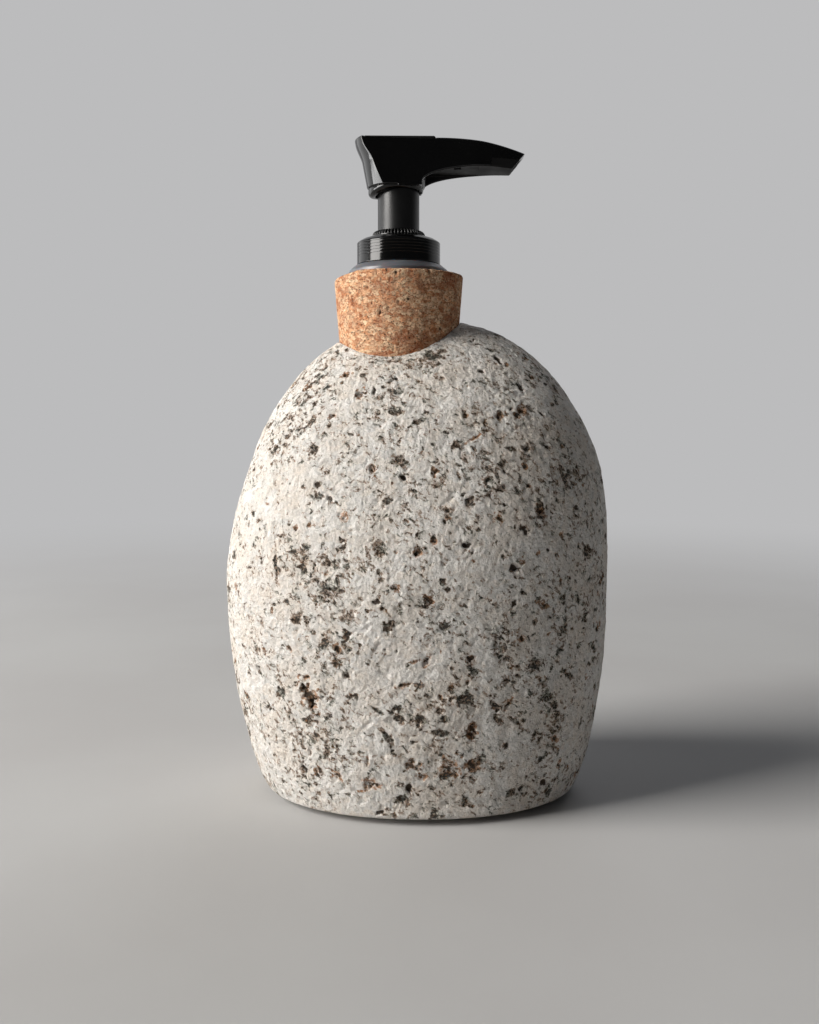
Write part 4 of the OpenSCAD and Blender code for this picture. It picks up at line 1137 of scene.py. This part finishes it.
def meshFromForm(name, form, low, high, cell, material, body):
    # a net of quads over the form's surface, each point then pulled onto it
    axes = [np.arange(low[i], high[i] + cell, cell) for i in range(3)]
    values = form(*np.meshgrid(*axes, indexing="ij"))
    inside = values < 0
    nx, ny, nz = inside.shape
    total = sum(inside[i:nx - 1 + i, j:ny - 1 + j, k:nz - 1 + k].astype(np.int8)
                for i in (0, 1) for j in (0, 1) for k in (0, 1))
    mixed = (total > 0) & (total < 8)
    index = np.full(mixed.shape, -1)
    index[mixed] = np.arange(mixed.sum())
    points = np.stack([axes[i][where] + cell / 2 for i, where in enumerate(np.nonzero(mixed))], axis=-1)
    quads = []
    around = {0: (1, 2), 1: (2, 0), 2: (0, 1)}
    for axis, (second, third) in around.items():
        first = [slice(None)] * 3
        first[axis] = slice(0, -1)
        after = [slice(None)] * 3
        after[axis] = slice(1, None)
        change = inside[tuple(first)] != inside[tuple(after)]
        at = np.argwhere(change)
        keep = (at[:, second] > 0) & (at[:, third] > 0)
        keep &= (at[:, second] < inside.shape[second] - 1) & (at[:, third] < inside.shape[third] - 1)
        at = at[keep]
        leaving = inside[tuple(at.T)]
        cells = []
        for a, b in ((1, 1), (0, 1), (0, 0), (1, 0)):
            spot = at.copy()
            spot[:, second] -= a
            spot[:, third] -= b
            cells.append(index[tuple(spot.T)])
        quad = np.stack(cells, axis=-1)
        quad[~leaving] = quad[~leaving][:, ::-1]
        quads.append(quad)
    quads = np.vstack(quads)
    quads = quads[(quads >= 0).all(axis=1)]

    def slopeAt(p):
        nudge = 0.01
        made = np.empty_like(p)
        for i in range(3):
            shifted = p.copy()
            shifted[:, i] += nudge
            back = p.copy()
            back[:, i] -= nudge
            made[:, i] = (form(*shifted.T) - form(*back.T)) / (2 * nudge)
        return made

    def pull(p, rounds):
        for _ in range(rounds):
            slope = slopeAt(p)
            length = np.maximum((slope ** 2).sum(axis=1), 0.05)
            move = slope * (form(*p.T) / length)[:, None]
            size = np.linalg.norm(move, axis=1, keepdims=True)
            p = p - move * np.minimum(1, 0.5 * cell / np.maximum(size, 1e-9))
        return p

    edges = np.vstack([quads[:, [0, 1]], quads[:, [1, 2]], quads[:, [2, 3]], quads[:, [3, 0]]])
    points = pull(points, 3)
    for _ in range(4):
        gathered, number = np.zeros_like(points), np.zeros(len(points))
        np.add.at(gathered, edges[:, 0], points[edges[:, 1]])
        np.add.at(gathered, edges[:, 1], points[edges[:, 0]])
        np.add.at(number, edges[:, 0], 1)
        np.add.at(number, edges[:, 1], 1)
        points = points + 0.6 * (gathered / number[:, None] - points)
        points = pull(points, 2)
    points = pull(points, 3)
    slope = slopeAt(points)
    slope /= np.maximum(np.linalg.norm(slope, axis=1, keepdims=True), 1e-9)
    sides = None
    if isinstance(material, (list, tuple)):
        middle, facing = points[quads].mean(axis=1), slope[quads].mean(axis=1)
        sides = coreSide(middle, facing).astype(int)
    points[:, 0] += pumpX
    print(name, "has", len(points), "points")
    return makePiece(name, points, quads, material, body, materialIds=sides, normals=slope)


def coreSide(middle, facing):
    # faces that the mould's core made: under the spout and inside its arch
    h = headSizes
    low = middle[:, 2] < h["topZ"] - 7.0
    inArch = (np.abs(middle[:, 1]) < h["halfW"] - h["cheekT"] + 0.1) & (middle[:, 0] > 8.5) & low
    return inArch | ((facing[:, 2] < -0.6) & (middle[:, 0] > 8.5) & low)


def makeHead():
    h = headSizes
    top = h["topZ"]
    piece = meshFromForm("head_moulding", headForm, (-15.4, -10.5, top - h["height"] - 1.0),
                         (42.5, 10.5, top + 1.2), h["cellMm"], [glossBlack, coreBlack], "head")
    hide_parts("pump_head")
    pad = meshFromForm("thumb_rest", thumbForm, (-14.2, -9.2, top - 1.9), (13.9, 9.2, top + 0.8),
                       h["padCellMm"], satinBlack, "head")
    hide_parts("thumb_pad")


makeHead()

# ---- return spring ----

springLow, springHigh = boxMm("return_spring")
spring = {"wireR": 0.5, "coilR": (springHigh[0] - springLow[0]) / 2 - 0.5, "turns": 6, "perTurn": 40,
          "sides": 12, "stroke": 10.4}


def makeSpring():
    s = spring
    low, high = springLow[2] + s["wireR"], springHigh[2] - s["wireR"]
    steps = (s["turns"] + 2) * s["perTurn"]
    t = np.linspace(0, s["turns"] + 2, steps + 1)
    rise = high - low
    wire = 2 * s["wireR"]
    z = np.where(t < 1, wire * t, np.where(t > s["turns"] + 1, rise - wire * (s["turns"] + 2 - t),
                                           wire + (rise - 2 * wire) * (t - 1) / s["turns"]))
    tilt = np.linspace(0, 2 * math.pi, s["sides"], endpoint=False)
    radius = s["coilR"] + s["wireR"] * np.cos(tilt)[None, :]
    angle = (t * 2 * math.pi)[:, None]
    points = np.stack([pumpX + radius * np.cos(angle), radius * np.sin(angle),
                       low + z[:, None] + s["wireR"] * np.sin(tilt)[None, :]], axis=-1)
    faces = gridFaces(len(t), s["sides"])
    piece = makePiece("return_coil", points.reshape(-1, 3), faces, steel, "pump")
    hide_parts("return_spring")
    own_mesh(piece)


makeSpring()

# ---- CAD parts that keep their shape ----

carried = {"foot_pads": siliconeRubber, "neck_gasket": foamedPolyethylene, "pump_housing": milkyNatural,
           "dip_tube": milkyNatural, "inlet_ball": steel, "piston": milkyNatural, "valve_rod": milkyNatural}
for node, material in carried.items():
    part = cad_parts[node]
    part.data.materials.clear()
    part.data.materials.append(material)
print("inner parts dressed")

# ---- floor, light and camera ----

stage = {"floorColour": "#bfbfbe", "floorShade": "#b9b8b7", "worldColour": "#bcbcbd", "floorSize": 8.0,
         "fadeFrom": 0.12, "fadeTo": 1.0, "ambient": 0.045}


def makeStage():
    # a wide plaster floor that fades into the open studio round it
    mesh = bpy.data.meshes.new("floor")
    half = stage["floorSize"] / 2
    corners = [(-half, -half, 0), (half, -half, 0), (half, half, 0), (-half, half, 0)]
    mesh.from_pydata(corners, [], [(0, 1, 2, 3)])
    floor = bpy.data.objects.new("floor", mesh)
    bpy.context.scene.collection.objects.link(floor)
    material, tree, shader, place = startMaterial("limewashedPlaster", {"Roughness": 0.9,
                                                                        "Specular IOR Level": 0.2})
    cloud = noiseAt(tree, 160, place, 4.0)
    tone = blendColours(tree, stretched(tree, cloud, 0.3, 0.7), stage["floorColour"], stage["floorShade"])
    feed(tree, shader, {"Base Color": tone})
    path = addNode(tree, "LightPath").outputs
    seen = reckon(tree, "MAXIMUM", path["Is Camera Ray"], path["Is Transmission Ray"])
    seen = reckon(tree, "MAXIMUM", seen, path["Is Glossy Ray"])
    away = addNode(tree, "VectorMath", {"operation": "LENGTH"}, {0: place})
    fade = stretched(tree, away.outputs["Value"], stage["fadeFrom"], stage["fadeTo"])
    share = reckon(tree, "MULTIPLY", fade, seen)
    glow = addNode(tree, "Emission", {"Color": linearColour(stage["worldColour"]), "Strength": 1.0})
    mix = addNode(tree, "MixShader", {}, {0: share, 1: shader.outputs[0], 2: glow.outputs[0]})
    output = next(n for n in tree.nodes if n.type == "OUTPUT_MATERIAL")
    tree.links.new(mix.outputs[0], output.inputs["Surface"])
    mesh.materials.append(material)

    world = bpy.data.worlds.new("studio")
    bpy.context.scene.world = world
    world.use_nodes = True
    tree = world.node_tree
    output = next(n for n in tree.nodes if n.type == "OUTPUT_WORLD")
    ambient = next(n for n in tree.nodes if n.type == "BACKGROUND")
    ambient.inputs["Color"].default_value = linearColour("#e6e9ee")
    ambient.inputs["Strength"].default_value = stage["ambient"]
    seen = addNode(tree, "Background", {"Color": linearColour(stage["worldColour"]), "Strength": 1.0})
    path = addNode(tree, "LightPath").outputs
    direct = reckon(tree, "MAXIMUM", path["Is Camera Ray"], path["Is Transmission Ray"])
    # a pale wall behind the object and a dim room in front of it, for reflections only
    way = addNode(tree, "SeparateXYZ", {}, {0: addNode(tree, "TexCoord").outputs["Generated"]})
    behind = stretched(tree, way.outputs["Y"], -0.1, 0.45, 0.04, 0.95)
    mirrored = addNode(tree, "Math", {"operation": "MULTIPLY_ADD"},
                       {0: path["Is Glossy Ray"], 1: behind, 2: direct})
    mix = addNode(tree, "MixShader", {}, {0: mirrored.outputs[0], 1: ambient.outputs[0], 2: seen.outputs[0]})
    tree.links.new(mix.outputs[0], output.inputs["Surface"])


# name, place, height it looks at, size, watts, colour, lights surfaces, shows in reflections
lamps = [
    ("window", (-2.15, -0.62, 1.2), 0.12, (1.3, 2.0), 108.0, "#fffcf8", True, False),
    ("glass", (-2.08, -0.87, 0.98), 0.12, (1.33, 2.0), 108.0, "#fffcf8", False, True),
    ("fill", (1.8, -1.9, 1.6), 0.1, (2.0, 2.0), 0.8, "#f2f6ff", True, False),
    ("backFill", (0.9, 2.5, 1.4), 0.1, (2.0, 2.0), 22.0, "#f6f8ff", True, False),
    ("card", (-0.354, -0.093, 0.14), 0.195, (0.305, 0.11), 1.05, "#ffffff", False, True),
    ("leftWall", (-0.48, 0.22, 0.2), 0.19, (0.5, 0.35), 0.6, "#ffffff", False, True),
]

makeStage()
for name, place, aimZ, size, power, colour, lit, mirrored in lamps:
    lamp = bpy.data.lights.new(name, "AREA")
    lamp.shape = "RECTANGLE"
    lamp.size, lamp.size_y = size
    lamp.energy = power
    lamp.color = linearColour(colour)[:3]
    thing = bpy.data.objects.new(name, lamp)
    thing.location = place
    thing.rotation_euler = (Vector((0, 0, aimZ)) - Vector(place)).to_track_quat("-Z", "Y").to_euler()
    thing.visible_camera = False
    thing.visible_diffuse, thing.visible_glossy = lit, mirrored
    bpy.context.scene.collection.objects.link(thing)

cameraSizes = {"fromPumpX": 3.6, "y": -362.0, "aboveBase": 123.0, "downDegrees": 5.0, "lens": 37.79}
camera = bpy.data.objects.new("camera", bpy.data.cameras.new("camera"))
camera.data.lens = cameraSizes["lens"]
camera.data.sensor_width = 36
camera.location = ((pumpX + cameraSizes["fromPumpX"]) / 1000, cameraSizes["y"] / 1000,
                   (pebble["baseZ"] + cameraSizes["aboveBase"]) / 1000)
camera.rotation_euler = (math.radians(90 - cameraSizes["downDegrees"]), 0, 0)
camera.data.clip_start = 0.01
bpy.context.scene.collection.objects.link(camera)
bpy.context.scene.camera = camera
bpy.context.scene.view_settings.view_transform = "Standard"

print("scene ready")
